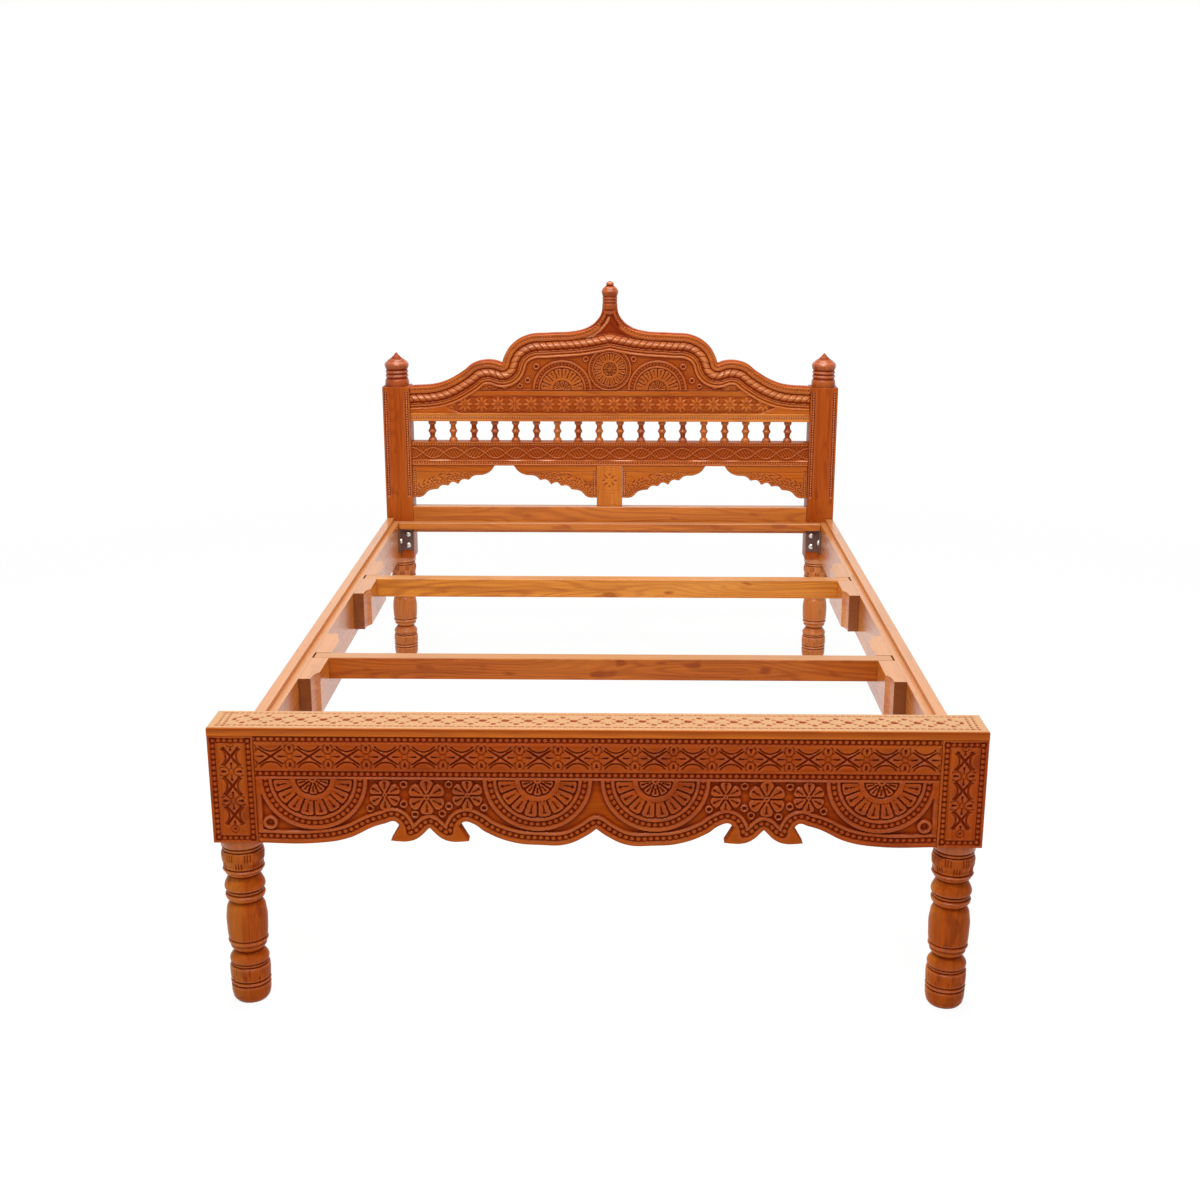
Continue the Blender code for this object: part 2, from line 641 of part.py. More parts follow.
def make_slat_housings():
    """Four housings fixed to the side rails, each with an open notch for a slat end."""
    bottom = LEDGE_Z - HOUSING_HEIGHT
    for word, side in SIDES.items():
        for row, middle in slat_middles().items():
            name = "slat_housing_" + row + "_" + word
            mesh = outline_mesh(name, housing_knots(side, middle), HOUSING_HEIGHT / 2, upright=False)
            centre = (side * (RAIL_IN_X - HOUSING_THICK / 2), middle, bottom + HOUSING_HEIGHT / 2)
            mesh.transform(Matrix.Translation((0.0, 0.0, centre[2])))
            housing = add_piece(name, mesh, PLAIN_TEAK, centre)
            half_notch = SLAT_WIDTH / 2 + SLAT_PLAY
            notch = ordered(
                (side * (RAIL_IN_X - 2 * HOUSING_THICK), middle - half_notch, SLAT_BOTTOM),
                (side * (RAIL_IN_X + HOUSING_THICK), middle + half_notch, LEDGE_Z + SLAT_HEIGHT),
            )
            combine(housing, "DIFFERENCE", block_tool(name + "_notch", [notch]))


def spindle_places():
    """Spindle centres, evenly spread across the gallery."""
    pitch = 2 * HALF_OPENING / (SPINDLE_COUNT + 1)
    return [-HALF_OPENING + pitch * (index + 1) for index in range(SPINDLE_COUNT)]


def spindle_y():
    """Depth at which the spindles stand."""
    return BOARD_FRONT_Y + MID_RAIL_THICK / 2


def pin_holes(face_z, towards):
    """Holes for the spindle pins, bored into a rail face."""
    radius = hole_radius(PIN_RADIUS, SPINDLE_SIDES)
    mouth = face_z - towards * PIN_LENGTH
    bed_z = face_z + towards * (PIN_LENGTH + FIT)
    return [((x, spindle_y(), mouth), (x, spindle_y(), bed_z), radius) for x in spindle_places()]


def make_cross_rails():
    """The plain and carved rails between the head posts."""
    half = HALF_OPENING - GAP
    lower = timber(
        "lower_head_rail", (-half, HEAD_FRONT_Y, LOWER_RAIL_BOTTOM),
        (half, HEAD_FRONT_Y + LOWER_RAIL_THICK, LOWER_RAIL_TOP), PLAIN_TEAK,
    )
    combine(lower, "UNION", block_tool("lower_tenons", [lower_rail_tenon(side) for side in SIDES.values()]))
    stub = grown(stile_stub(LOWER_RAIL_TOP, -1))
    combine(lower, "DIFFERENCE", block_tool("lower_stile_mortise", [stub]))

    mid = timber(
        "mid_rail", (-half, BOARD_FRONT_Y, MID_RAIL_BOTTOM),
        (half, BOARD_FRONT_Y + MID_RAIL_THICK, MID_RAIL_TOP), CARVED_TEAK,
    )
    combine(mid, "UNION", block_tool("mid_tenons", [mid_rail_tenon(side) for side in SIDES.values()]))
    stub = grown(stile_stub(MID_RAIL_BOTTOM, 1))
    bores = pin_holes(MID_RAIL_TOP, -1)
    combine(mid, "DIFFERENCE", block_tool("mid_holes", [stub], bores, SPINDLE_SIDES))

    gallery = timber(
        "gallery_top_rail", (-half, BOARD_FRONT_Y, GALLERY_BOTTOM),
        (half, BOARD_FRONT_Y + GALLERY_THICK, GALLERY_TOP - GAP), PLAIN_TEAK,
    )
    combine(gallery, "UNION", block_tool("gallery_tenons", [gallery_tenon(side) for side in SIDES.values()]))
    bores = pin_holes(GALLERY_BOTTOM, 1)
    combine(gallery, "DIFFERENCE", block_tool("gallery_holes", (), bores, SPINDLE_SIDES))


def make_stile():
    """Centre stile between the lower and the mid rail, with a stub tenon at each end."""
    low = (-STILE_WIDTH / 2, BOARD_FRONT_Y, LOWER_RAIL_TOP + GAP)
    high = (STILE_WIDTH / 2, BOARD_FRONT_Y + STILE_THICK, MID_RAIL_BOTTOM - GAP)
    stile = timber("centre_stile", low, high, CARVED_TEAK)
    stubs = [stile_stub(LOWER_RAIL_TOP, -1), stile_stub(MID_RAIL_BOTTOM, 1)]
    combine(stile, "UNION", block_tool("centre_stile_stubs", stubs))


def make_spandrels():
    """Four scalloped brackets under the mid rail, two to each arch."""
    front_y = HEAD_FRONT_Y + SPANDREL_SETBACK
    width = (HALF_OPENING - STILE_WIDTH / 2 - ARCH_FLAT) / 2
    top = MID_RAIL_BOTTOM - GAP
    places = {
        "outer": (HALF_OPENING - GAP, -1),
        "inner": (STILE_WIDTH / 2 + GAP, 1),
    }
    for word, side in SIDES.items():
        for place, (upright_x, away) in places.items():
            knots = [
                (side * (upright_x + away * share * width), top - SPANDREL_DROP * (1 - rise), kind)
                for share, rise, kind in SPANDREL_EDGE
            ]
            knots.append((side * upright_x, top, CORNER))
            name = "spandrel_" + place + "_" + word
            upright_board(name, knots, front_y, SPANDREL_THICK, CARVED_TEAK)


def make_spindles():
    """Turned gallery spindles, pinned into the rails above and below."""
    bottom = MID_RAIL_TOP + GAP
    height = GALLERY_BOTTOM - MID_RAIL_TOP - 2 * GAP
    profile = [(0.0, height + PIN_LENGTH), (PIN_RADIUS, height + PIN_LENGTH), (PIN_RADIUS, height)]
    profile += [(SPINDLE_RADIUS - depth, height * (1 - share)) for share, depth in SPINDLE_TURNING]
    profile += [(PIN_RADIUS, 0.0), (PIN_RADIUS, -PIN_LENGTH), (0.0, -PIN_LENGTH)]
    for index, x in enumerate(spindle_places()):
        name = "spindle_" + str(index + 1).zfill(2)
        spindle = add_piece(name, profile_mesh(name, profile), CARVED_TEAK)
        spindle.location = (x, spindle_y(), bottom)
        turn_on_lathe(spindle, SPINDLE_SIDES)


def make_crest():
    """Arched crest panel on the gallery rail, with a tongue at each end and a hole for the finial's pin."""
    half = HALF_OPENING - GAP
    edge = [(share * half, SHOULDER_Z + lift * CREST_RISE, kind) for share, lift, kind in CREST_EDGE]
    knots = mirrored([(half, GALLERY_TOP, CORNER), *edge])
    crest = upright_board("crest_panel", knots, BOARD_FRONT_Y, CREST_THICK, CARVED_TEAK)
    combine(crest, "UNION", block_tool("crest_tongues", [crest_tenon(side) for side in SIDES.values()]))
    y_mid = BOARD_FRONT_Y + CREST_THICK / 2
    hole_foot = (0.0, y_mid, CREST_TOP - FINIAL_PIN_LENGTH - FIT)
    hole_mouth = (0.0, y_mid, CREST_TOP + FINIAL_PIN_LENGTH)
    hole = (hole_foot, hole_mouth, hole_radius(FINIAL_PIN_RADIUS, TURNED_SIDES))
    combine(crest, "DIFFERENCE", block_tool("crest_pin_hole", (), [hole], TURNED_SIDES))

    profile = [(0.0, CREST_FINIAL_TIP)]
    profile += [(FINIAL_RADIUS - depth, height) for height, depth in CREST_FINIAL_TURNING]
    profile += [(FINIAL_PIN_RADIUS, GAP), (FINIAL_PIN_RADIUS, -FINIAL_PIN_LENGTH), (0.0, -FINIAL_PIN_LENGTH)]
    finial = add_piece("crest_finial", profile_mesh("crest_finial", profile), CARVED_TEAK)
    finial.location = (0.0, y_mid, CREST_TOP)
    turn_on_lathe(finial, TURNED_SIDES)


def bracket_knots(side, face_y, towards):
    """Plan of an angle bracket set in the corner between a side rail and a post face."""
    post_leg = RAIL_IN_X - HALF_OPENING - GAP
    thick = BRACKET_THICK
    inside = thick + BRACKET_BEND
    shape = (
        (0.0, BRACKET_BEND), (BRACKET_BEND, 0.0), (post_leg, 0.0), (post_leg, thick), (inside, thick),
        (thick, inside), (thick, BRACKET_RAIL_LEG), (0.0, BRACKET_RAIL_LEG),
    )
    corner_x = RAIL_IN_X - GAP
    corner_y = face_y + towards * GAP
    return [(side * (corner_x - across), corner_y + towards * along, CORNER) for across, along in shape]


def add_bolt(name, point, inward, length):
    """A round-headed bolt whose head sits on a bracket leg and whose shank runs into the timber."""
    seat = BRACKET_THICK + 2 * GAP
    profile = [
        (BOLT_HEAD_RADIUS * radius_share, seat + BOLT_HEAD_HEIGHT * height_share)
        for height_share, radius_share in BOLT_HEAD_TURNING
    ]
    profile += [(BOLT_RADIUS, seat), (BOLT_RADIUS, -length), (0.0, -length)]
    bolt = add_piece(name, profile_mesh(name, profile), BOLT_ZINC)
    bolt.location = point
    bolt.rotation_euler = (-Vector(inward)).to_track_quat("Z", "Y").to_euler()
    turn_on_lathe(bolt, BOLT_SIDES)


def make_corner_hardware():
    """Steel angle brackets in the four inside corners, with their bolts."""
    bottom, top = bracket_levels()
    ends = {"foot": (FOOT_POST_BACK_Y, 1), "head": (HEAD_FRONT_Y, -1)}
    for end, (face_y, towards) in ends.items():
        for word, side in SIDES.items():
            label = end + "_" + word
            mesh = outline_mesh("corner_bracket_" + label, bracket_knots(side, face_y, towards),
                                BRACKET_HEIGHT / 2, upright=False)
            mesh.transform(Matrix.Translation((0.0, 0.0, (bottom + top) / 2)))
            corner = (side * RAIL_IN_X, face_y, (bottom + top) / 2)
            bracket = add_piece("corner_bracket_" + label, mesh, BRACKET_PAINT, corner)

            post_inward = (0, -towards, 0)
            rail_inward = (side, 0, 0)
            post_points = post_bolt_points(side, face_y)
            rail_point = rail_bolt_point(side, face_y, towards)
            holes = [bolt_hole(point, post_inward, BRACKET_THICK) for point in post_points]
            holes.append(bolt_hole(rail_point, rail_inward, BRACKET_THICK))
            combine(bracket, "DIFFERENCE", block_tool("bracket_holes_" + label, (), holes))

            for rank, point in zip(("upper", "lower"), post_points):
                add_bolt("post_bolt_" + label + "_" + rank, point, post_inward, BOLT_LENGTH)
            add_bolt("rail_bolt_" + label, rail_point, rail_inward, RAIL_BOLT_LENGTH)


make_foot_posts()
make_foot_rail()
make_foot_cap()
make_ledges()
make_side_rails()
make_slats()
make_slat_housings()
make_head_posts()
make_cross_rails()
make_stile()
make_spandrels()
make_spindles()
make_crest()
make_corner_hardware()
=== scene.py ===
"""Looks of the carved teak bed: relief carving, turned members, lacquered teak and plain studio light.

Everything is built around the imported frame, in metres, with the carved foot end facing -Y. A carved face is a
net of points whose depth below the face comes from a formula. A turned piece is a profile run round an axis.
"""
import math

import bpy
import numpy as np
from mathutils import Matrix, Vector
from mathutils.geometry import delaunay_2d_cdt


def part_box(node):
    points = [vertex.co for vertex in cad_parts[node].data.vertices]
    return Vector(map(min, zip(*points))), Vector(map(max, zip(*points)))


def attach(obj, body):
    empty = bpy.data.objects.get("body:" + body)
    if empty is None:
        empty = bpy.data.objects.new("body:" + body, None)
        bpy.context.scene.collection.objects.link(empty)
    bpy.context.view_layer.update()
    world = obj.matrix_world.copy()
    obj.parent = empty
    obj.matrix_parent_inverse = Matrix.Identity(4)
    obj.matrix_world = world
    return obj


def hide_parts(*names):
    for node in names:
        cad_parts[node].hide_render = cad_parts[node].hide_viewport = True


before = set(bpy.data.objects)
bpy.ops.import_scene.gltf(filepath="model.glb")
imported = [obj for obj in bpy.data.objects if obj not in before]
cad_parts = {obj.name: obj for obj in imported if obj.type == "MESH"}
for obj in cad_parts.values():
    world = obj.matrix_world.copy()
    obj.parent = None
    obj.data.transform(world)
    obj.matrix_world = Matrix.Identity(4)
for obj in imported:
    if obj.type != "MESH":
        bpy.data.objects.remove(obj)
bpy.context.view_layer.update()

SIDES = {"left": -1, "right": 1}

# The photograph's view
CAMERA_PLACE = (0.0472, -3.4844, 1.4339)
CAMERA_TILT = 0.27236
CAMERA_TURN = 0.01685
CAMERA_LENS = 46.217
SENSOR_WIDTH = 36.0

# Studio light: lamps as (name, place, (width, height), watts)
SOFTBOXES = (
    ("key_softbox", (-0.3, -2.2, 3.1), (2.4, 0.40), 78.0),
    ("top_softbox", (0.0, 0.2, 3.6), (2.6, 2.6), 150.0),
)
LAMP_AIM = Vector((0.0, -0.3, 0.45))
SKY_FILL = 0.42
FLOOR_GLOW = 0.90
FLOOR_GLOW_REACH = (1.2, 4.0)
FLOOR_HALF = 9.0
FLOOR_TONE = (0.86, 0.85, 0.84, 1.0)
FLOOR_ROUGHNESS = 0.9

# In the values below, beads are (pitch, size), cuts are (half width, softness) and an edge or ease is
# (start, end); lengths are in metres, and stains, shares and tones are parts of 1

# Carving: nets, arrises and depths
FOOT_CELL = 0.00162
CREST_CELL = 0.0017
FACE_CELL = 0.0014
RAIL_CELL = 0.0016
STILE_CELL = 0.0013
SPANDREL_CELL = 0.0015
EDGE_CLEARANCE = 0.6
ARRIS = 0.0014
ARRIS_STEPS = 5
SOFT = 0.0007
GROUND = 0.0052
CUT = 0.0042
SQUARE_EDGE = math.radians(75.0)

# Tones of a carved face: painted shade in creases and deep ground, a painted highlight on worn crests, then the
# darkening share of open ground, bead rows and chains
LEVEL_PASSES = 9
CREASE_DROP = 0.0021
CREST_WEAR_AND_GLINT = 0.6
DEEP_GROUND_SHADE = 0.12
BEAD_STAIN = 0.30
BEAD_CROWN = 0.3
BEAD_GLINT = -0.7
CHAIN_STAIN = 0.55
BOW_STAIN = 0.5

# Rows of beads in a sunk channel
BEAD_PITCH = 0.0108
BEAD_RADIUS = 0.0046
BEAD_CHANNEL = 0.0051
BEAD_DEPTH = 0.0042

# Petals: edge, gap and dish, then the slit and the drop cut in each
PETAL_EDGE = (0.0001, 0.0013)
PETAL_GAP = 0.0007
PETAL_DISH = (0.0015, 0.0050)
DISH_SHARE = 0.14
SLIT_ENDS = (0.25, 0.75)
SLIT_HALF = 0.0005
SLIT_SPREAD = 0.0009
SLIT_SOFT = 0.0005
SLIT_SHARE = 0.85
DROP_PLACE = 0.74
DROP_RADIUS = 0.0006
DROP_SPREAD = 0.19

# Small rings and rosettes, as shares of their radius
RING_WALL = 0.22
ROSETTE_PETALS = 6
ROSETTE_BOSS = 0.17
BOSS_RING = (0.6, 0.4)
BOSS_REACH = 1.08

# Wheels and fans: beads in half a turn, and the rim's rings as (radius, half width)
FAN_RADIUS = 0.0935
FAN_BEADS = 0.0810
FAN_BEAD_COUNT = 24
FAN_OVERLAP = 0.0002
RIM_RINGS = ((0.0897, 0.0036), (0.0727, 0.0030))
# Petals as (outer radius, count, inner radius, roundness), each round a ring as (reach, radius, half width)
WHEEL_LAYERS = (
    ((0.0690, 16, 0.0380, 0.60), (0.0395, 0.0345, 0.0048)),
    ((0.0290, 10, 0.0070, 0.75), (0.0075, 0.0048, 0.0024)),
)

# Chains of flowers: arms, slits, knobs with collar and drop, notches, eye and bows
ARM_RISE = 0.92
ARM_REACH = 0.66
ARM_HALF = 0.0020
ARM_TAPER = 0.0011
LINK_SLIT_START = 0.20
LINK_SLIT_LENGTH = 0.44
LINK_SLIT_HALF = 0.0003
LINK_SLIT_SPREAD = 0.0018
LINK_SLIT_CURVE = 1.3
LINK_SLIT_END = 0.92
KNOB_LEVEL = 0.62
KNOB_LIMIT = 0.92
KNOB_SQUASH = 0.82
COLLAR_RADIUS = 0.0080
COLLAR_HALF = 0.0012
KNOB_DROP_HALF = 0.0013
KNOB_DROP_SPREAD = 0.0011
KNOB_DROP_EASE = 0.003
KNOB_DROP_LENGTH = (0.0042, 0.0012)
NOTCH_PLACE = 0.0084
NOTCH_LEVEL = 0.46
NOTCH_RADIUS = 0.0018
EYE_RADIUS = 0.0050
EYE_HALF = 0.0010
BOW_LEVEL = 1.34
BOW_RADIUS = 0.93
BOW_HALF = 0.0013
BOW_LIMIT = 0.84
BOW_REACH = 0.58
# Depth shares of slit, collar, drop, notch, eye and bow
LINK_SHARES = (0.85, 0.50, 0.95, 0.70, 0.4, 0.75)

# Levels of the foot rail, up from the floor
FOOT_BEADS_TOP = 0.5055
FOOT_BEADS_LOW = 0.4430
CHAIN_MIDDLE = 0.4745
CHAIN_HALF_HEIGHT = 0.0235
CHAIN_PITCH = 0.0651
CHAIN_PHASE = -0.4879
FOOT_FILLET = 0.4340
FILLET_EASE = 0.0012
FOOT_END_STRIP = 0.009
EDGE_BEADS = 0.0132
EDGE_BEAD_STEP = 0.002
EDGE_FIELD = 0.0238
EDGE_SEARCH = 0.030
BEAD_SEARCH = 0.008

# Foot rail: fans by their middles across, and rosettes as (across, height, radius)
FOOT_FANS = (0.1004, 0.4835)
ROSETTES = ((0.2900, 0.4017, 0.0335), (0.3613, 0.4050, 0.0286), (0.2203, 0.4056, 0.0286))
# Rings of one radius as (across, height), and a larger one in each corner
SMALL_RINGS = (
    (0.3294, 0.3884), (0.3105, 0.3696), (0.2523, 0.3849), (0.2640, 0.3715), (0.1921, 0.3826),
    (0.3287, 0.4247), (0.2518, 0.4253), (0.3872, 0.3800),
)
RING_RADIUS = 0.0068
CORNER_RING = (0.5600, 0.3530, 0.0125)

# Foot cap: dashed lines in from its sides and ends
CAP_DASH_PITCH = 0.0106
CAP_DASH = (0.0036, 0.0008)
CAP_SIDE_LINE = 0.0125
CAP_SIDE_HALF = 0.0020
CAP_END_LINES = (0.016, 0.027)
CAP_END_HALF = 0.0015
# Rows of dots on the cap: (pitch, start, distance off the middle, radius, softness, depth share)
CAP_DOTS = (
    (0.0390, 0.0, 0.0, 0.0066, 0.0012, 1.0),
    (0.0390, 0.0195, 0.0165, 0.0044, 0.0010, 1.0),
    (0.0195, 0.00975, 0.0090, 0.0030, 0.0009, 0.7),
)
CAP_DOTS_END = 0.036
CAP_DASH_END = 0.012
CAP_LINE_END = 0.008
CAP_CUT = 0.0030
CAP_ARRIS = 0.0034

# Foot blocks: frame of beads, chain of two flowers and a ring at each end of it
BLOCK_INSET = 0.0090
BLOCK_BEADS = (0.0098, 0.9)
BLOCK_BEAD_END = 0.005
# Reach of the panel and of the line round it, across and up from the middle
BLOCK_PANEL = (0.0225, 0.0850)
BLOCK_LINE = (0.0235, 0.0865)
BLOCK_LINE_END = 0.086
BLOCK_LINE_HALF = 0.0011
BLOCK_LINE_DEPTH = 0.0014
BLOCK_CHAIN_MIDDLE = 0.4195
# Half pitch, half height and boldness of the chain
BLOCK_CHAIN = (0.0268, 0.0215, 1.25)
BLOCK_CHAIN_HALF = 0.0720
BLOCK_EYES = 0.0785
BLOCK_EYE_RADIUS = 0.0060
BLOCK_EYE_REACH = 0.0072
BLOCK_EYE_SHARE = 0.6

# Head shafts: beads down each edge, and the levels where they start and stop
SHAFT_BEADS = (0.0072, 0.78)
SHAFT_BEAD_LINE = 0.0300
SHAFT_START = (0.500, 0.505)
SHAFT_STOP = 0.812
SHAFT_STOP_EASE = 0.001
SHAFT_STAIN = 0.45

# Strokes on the legs: stood and hung groups on the upper drum, single ones as (turn, low, high) on the lower
STROKE_DEPTH = 0.0020
STROKE_GROUPS = 7
STROKE_OFFSETS = (-0.14, 0.0, 0.14)
STROKE = (0.030, 0.018)
STROKE_EASE = 0.001
STOOD_STROKES = (0.2610, 0.2735)
HUNG_STROKES = (0.2745, 0.2885)
LOW_STROKE_COUNT = 9
LOW_STROKE = (0.024, 0.016)
LOW_STROKES = ((0.0, 0.0540, 0.0655), (0.2, 0.0440, 0.0520))
LOW_STROKE_SHARE = 0.7

# Star band of the crest, with chip cuts that cross between the stars
STAR_BAND = (0.7505, 0.7970)
STAR_PITCH = 0.0482
STAR_PHASE = 0.0123
STAR_PETALS = 8
STAR_RADIUS = 0.0237
STAR_CORE = 0.0030
STAR_PETAL = 0.0056
STAR_SHAPE = 0.8
STAR_STEP = 0.30
STAR_STEP_EDGE = (-0.0003, 0.0006)
STAR_EYE = 0.0016
STAR_EYE_SHARE = 0.45
STAR_DEPTH = 0.0036
STAR_CROWN = 0.5
SLOT_SIZE = (0.0115, 0.0012)
SLOT_LEVEL = 0.0205
SLOT_HALF = 0.0018
SLOT_STAIN = 0.55
CHIP_GROUND = 0.9
CHIP_PITCH = 0.0068
CHIP_HALF = 0.0009
CHIP_TOP = 0.68
CHIP_CUT_STAIN = 0.50
CHIP_CONTRAST = 1.30

# Field of the crest: fans, wheel and rings on a punched ground, and the bare wedge at each end below it
CREST_LINE = 0.8165
CREST_FACE = 0.0024
CREST_GROUND = 0.0036
FIELD_EDGE = (0.0026, 0.0040)
FIELD_EASE = 0.001
FIELD_STAIN = 0.28
MEDALLION = (0.0, 0.8765, 0.0626)
# Half fans as (middle across, radius), then rings as (middle across, height, radius)
CREST_FANS = ((0.1380, 0.0860), (0.3500, 0.0235))
CREST_RINGS = (
    (0.0690, 0.9060, 0.0085), (0.2126, 0.8840, 0.0090), (0.2380, 0.8440, 0.0085), (0.2600, 0.8280, 0.0075),
    (0.3050, 0.8270, 0.0075),
)
PUNCH_GROUND = 0.9
PUNCH_PITCH = 0.0062
PUNCH_HALF = 0.0011
PUNCH_DEPTH = 0.0012
PUNCH_STAIN = 0.45
BAND_LINES = (STAR_BAND[1] + 0.0012, CREST_LINE - 0.0015)
BAND_LINE_HALF = 0.0012
BAND_LINE_DEPTH = 0.0020
BAND_MARGIN = 0.003
WEDGE_END = 0.440
WEDGE_SLANT = 2.5
WEDGE_HEIGHT = 0.030
WEDGE_MARGIN = 0.002

# Border of the crest, in from its edge: round rim with beads, leafy hollow, rope, two grooves and a fillet
CREST_BASE = 0.0042
CREST_SEARCH = 0.120
RIM_SEARCH = 0.050
RIM_MIDDLE = 0.0098
RIM_HALF = 0.0112
RIM_DROP = 0.0050
RIM_BEADS = (0.0082, 0.55)
POINT_RIM_LOSS = 0.0068
POINT_EASE = (-0.004, 0.012)
POINT_STAIN_EASE = (-0.002, 0.010)
POINT_STAIN = 0.45
HOLLOW_DROP = 0.0078
HOLLOW_EASE = 0.002
HOLLOW_STAIN = 0.75
LEAF_LINE = RIM_MIDDLE + RIM_HALF + 0.0035
LEAF = (0.0032, 0.0020)
LEAF_RISE = 0.6
LEAF_CROWN = 0.4
ROPE_STEP = 0.004
ROPE_SEARCH = 0.040
ROPE_INSET = 0.0350
ROPE_HALF = 0.0138
ROPE_PITCH = 0.0190
ROPE_DROP = 0.0082
ROPE_SLANT = 0.45
ROPE_ROUND = 0.35
# How far the lay curls at the rope's edges, and how fast
ROPE_CURL = (0.0022, 2.2)
STRAND_HALF = 0.51
STRAND_POWER = 4
STRAND_SHARE = 0.70
ROPE_STAIN = 0.55
# Painted glint on the rope's strands, and painted shade on its lower half
ROPE_POLISH_AND_GLINT = 1.55
ROPE_UNDERSIDE = (-0.15, 0.75)
UNDERSIDE_PAINTED_SHADE = 0.9
BORDER_GROOVES = (0.0525, 0.0600)
BORDER_GROOVE_HALF = 0.0011
BORDER_GROOVE_DEPTH = 0.0026
INNER_FILLET = 0.0655
FILLET_HALF = 0.0026
FILLET_RISE = 0.6
CROWN_GLINT = -0.9

# Mid rail, down from its top: ledge, sunk panel with waves and strokes, bead rows with painted glints on their
# crowns and a bevel with painted glints in patches
MID_LEDGE = 0.0530
MID_PANEL_TOP = 0.0105
MID_PANEL_DEPTH = 0.0036
MID_PANEL_EASE = 0.0012
MID_LEDGE_EASE = (-0.0030, 0.0016)
MID_BEADS = (0.0072, 0.76)
MID_BEAD_ROWS = (MID_LEDGE + 0.0072, 0.0058)
MID_BEAD_STAIN = 0.50
MID_BEAD_TINT = 0.45
MID_BEAD_LIMIT = 0.6
WAVE_SWING = 0.0150
HALF_WAVE = 0.0610
WAVE_RIDGE = (0.0015, 0.0010)
RIDGE_RISE = 0.55
LEAF_STROKE = (0.0016, 0.0008)
LEAF_STROKE_PITCH = 0.0092
LEAF_STROKE_SLANT = 0.7
LEAF_STROKE_FIELD = (0.0165, 0.0010)
LEAF_STROKE_DEPTH = 0.0011
MID_STAIN = 0.28
MID_PANEL_STAIN = 0.42
RIDGE_PALER = 0.16
STROKE_DARKER = 0.14
BEVEL_LINE = 0.0007
BEVEL = (0.0020, 0.0008)
BEVEL_SHARE = 0.2
BEVEL_GLINT = 1.3
# Radians per metre of two waves, and the second one's phase
GLINT_WAVES = (41.0, 17.0, 0.8)
GLINT_GAIN = 1.5

# Gallery rail, up from its lower edge: beads between two lines
GALLERY_BEADS = (0.0070, 0.62)
GALLERY_BEAD_LINE = 0.0110
GALLERY_LINES = (0.0055, 0.0170)
GALLERY_LINE_HALF = 0.0010
GALLERY_LINE_DEPTH = 0.0012
GALLERY_STAIN = 0.30

# Stile: two frames round drops as (turn, (half width, softness), middle, (half length, softness))
STILE_MIDDLE = 0.0440
STILE_STRETCH = 0.0050
STILE_FRAMES = (0.0330, 0.0255)
STILE_FRAME_HALF = 0.0009
STILE_FRAME_DEPTH = 0.0008
STILE_DROPS = (
    (math.pi / 4, (0.0021, 0.0010), 0.0145, (0.0060, 0.0016)),
    (0.0, (0.0025, 0.0010), 0.0175, (0.0036, 0.0014)),
)
STILE_DROP_DEPTH = 0.0020
STILE_DROP_STAIN = 0.18

# Spandrels: beads by the upright, a line under the rail, then rows of gouge cuts in from the scalloped edge
SPANDREL_BEADS = (0.0066, 0.70)
SPANDREL_BEAD_LINE = 0.0070
SPANDREL_BEAD_EDGE = 0.0050
SPANDREL_BEAD_TOP = 0.014
SPANDREL_STAIN = 0.30
SPANDREL_SEARCH = 0.040
SPANDREL_LINE = 0.0180
SPANDREL_LINE_HALF = 0.0009
SPANDREL_LINE_EDGE = 0.004
SPANDREL_LINE_DEPTH = 0.0012
SPANDREL_LINE_STAIN = 0.2
SPANDREL_FIELD_TOP = 0.0195
SPANDREL_FIELD_SIDE = 0.0125
# Rows as (slant, pitch, half width, distance from the edge)
GOUGE_ROWS = (
    (0.7, 0.0066, 0.0014, 0.0080), (-0.9, 0.0072, 0.0015, 0.0158),
    (0.5, 0.0080, 0.0016, 0.0238), (-0.6, 0.0090, 0.0016, 0.0318),
)
GOUGE = (0.0034, 0.0016)
GOUGE_DEPTH = 0.0022
GOUGE_STAIN = 0.10

# Outline knots: (share across, share of the rise, corner)
FOOT_EDGE_CENTRE = (
    (0.000, 0.68, True), (0.030, 0.39, False), (0.090, 0.03, False), (0.165, 0.00, False),
    (0.245, 0.10, False), (0.325, 0.51, False),
)
FOOT_EDGE_DROP = (
    (0.362, 0.85, False), (0.389, 0.94, False), (0.405, 0.77, True), (0.385, 0.32, False),
    (0.377, 0.14, True), (0.400, 0.11, False), (0.427, 0.11, False), (0.455, 0.23, False),
)
# The beaded border of the drop leaves its two barbs plain
FOOT_BORDER_DROP = (
    (0.362, 0.85, False), (0.389, 0.94, False), (0.407, 0.68, False), (0.411, 0.40, False),
    (0.420, 0.12, True), (0.460, 0.28, False),
)
FOOT_EDGE_DROP_CENTRE = (0.4925, 0.68, True)
FOOT_EDGE_END = ((0.655, 0.72, False), (0.735, 0.23, False), (0.830, 0.02, False), (1.000, 0.02, True))
SCALLOP_RISE = 0.045
CREST_EDGE = (
    (1.000, 0.000, True), (0.849, 0.043, False), (0.734, 0.195, False), (0.687, 0.290, False),
    (0.630, 0.337, False), (0.572, 0.333, False), (0.536, 0.302, True), (0.524, 0.400, False),
    (0.490, 0.535, False), (0.411, 0.659, False), (0.300, 0.688, False), (0.165, 0.713, False),
    (0.103, 0.767, False), (0.059, 0.865, False), (0.041, 0.950, False), (0.038, 1.000, True),
)
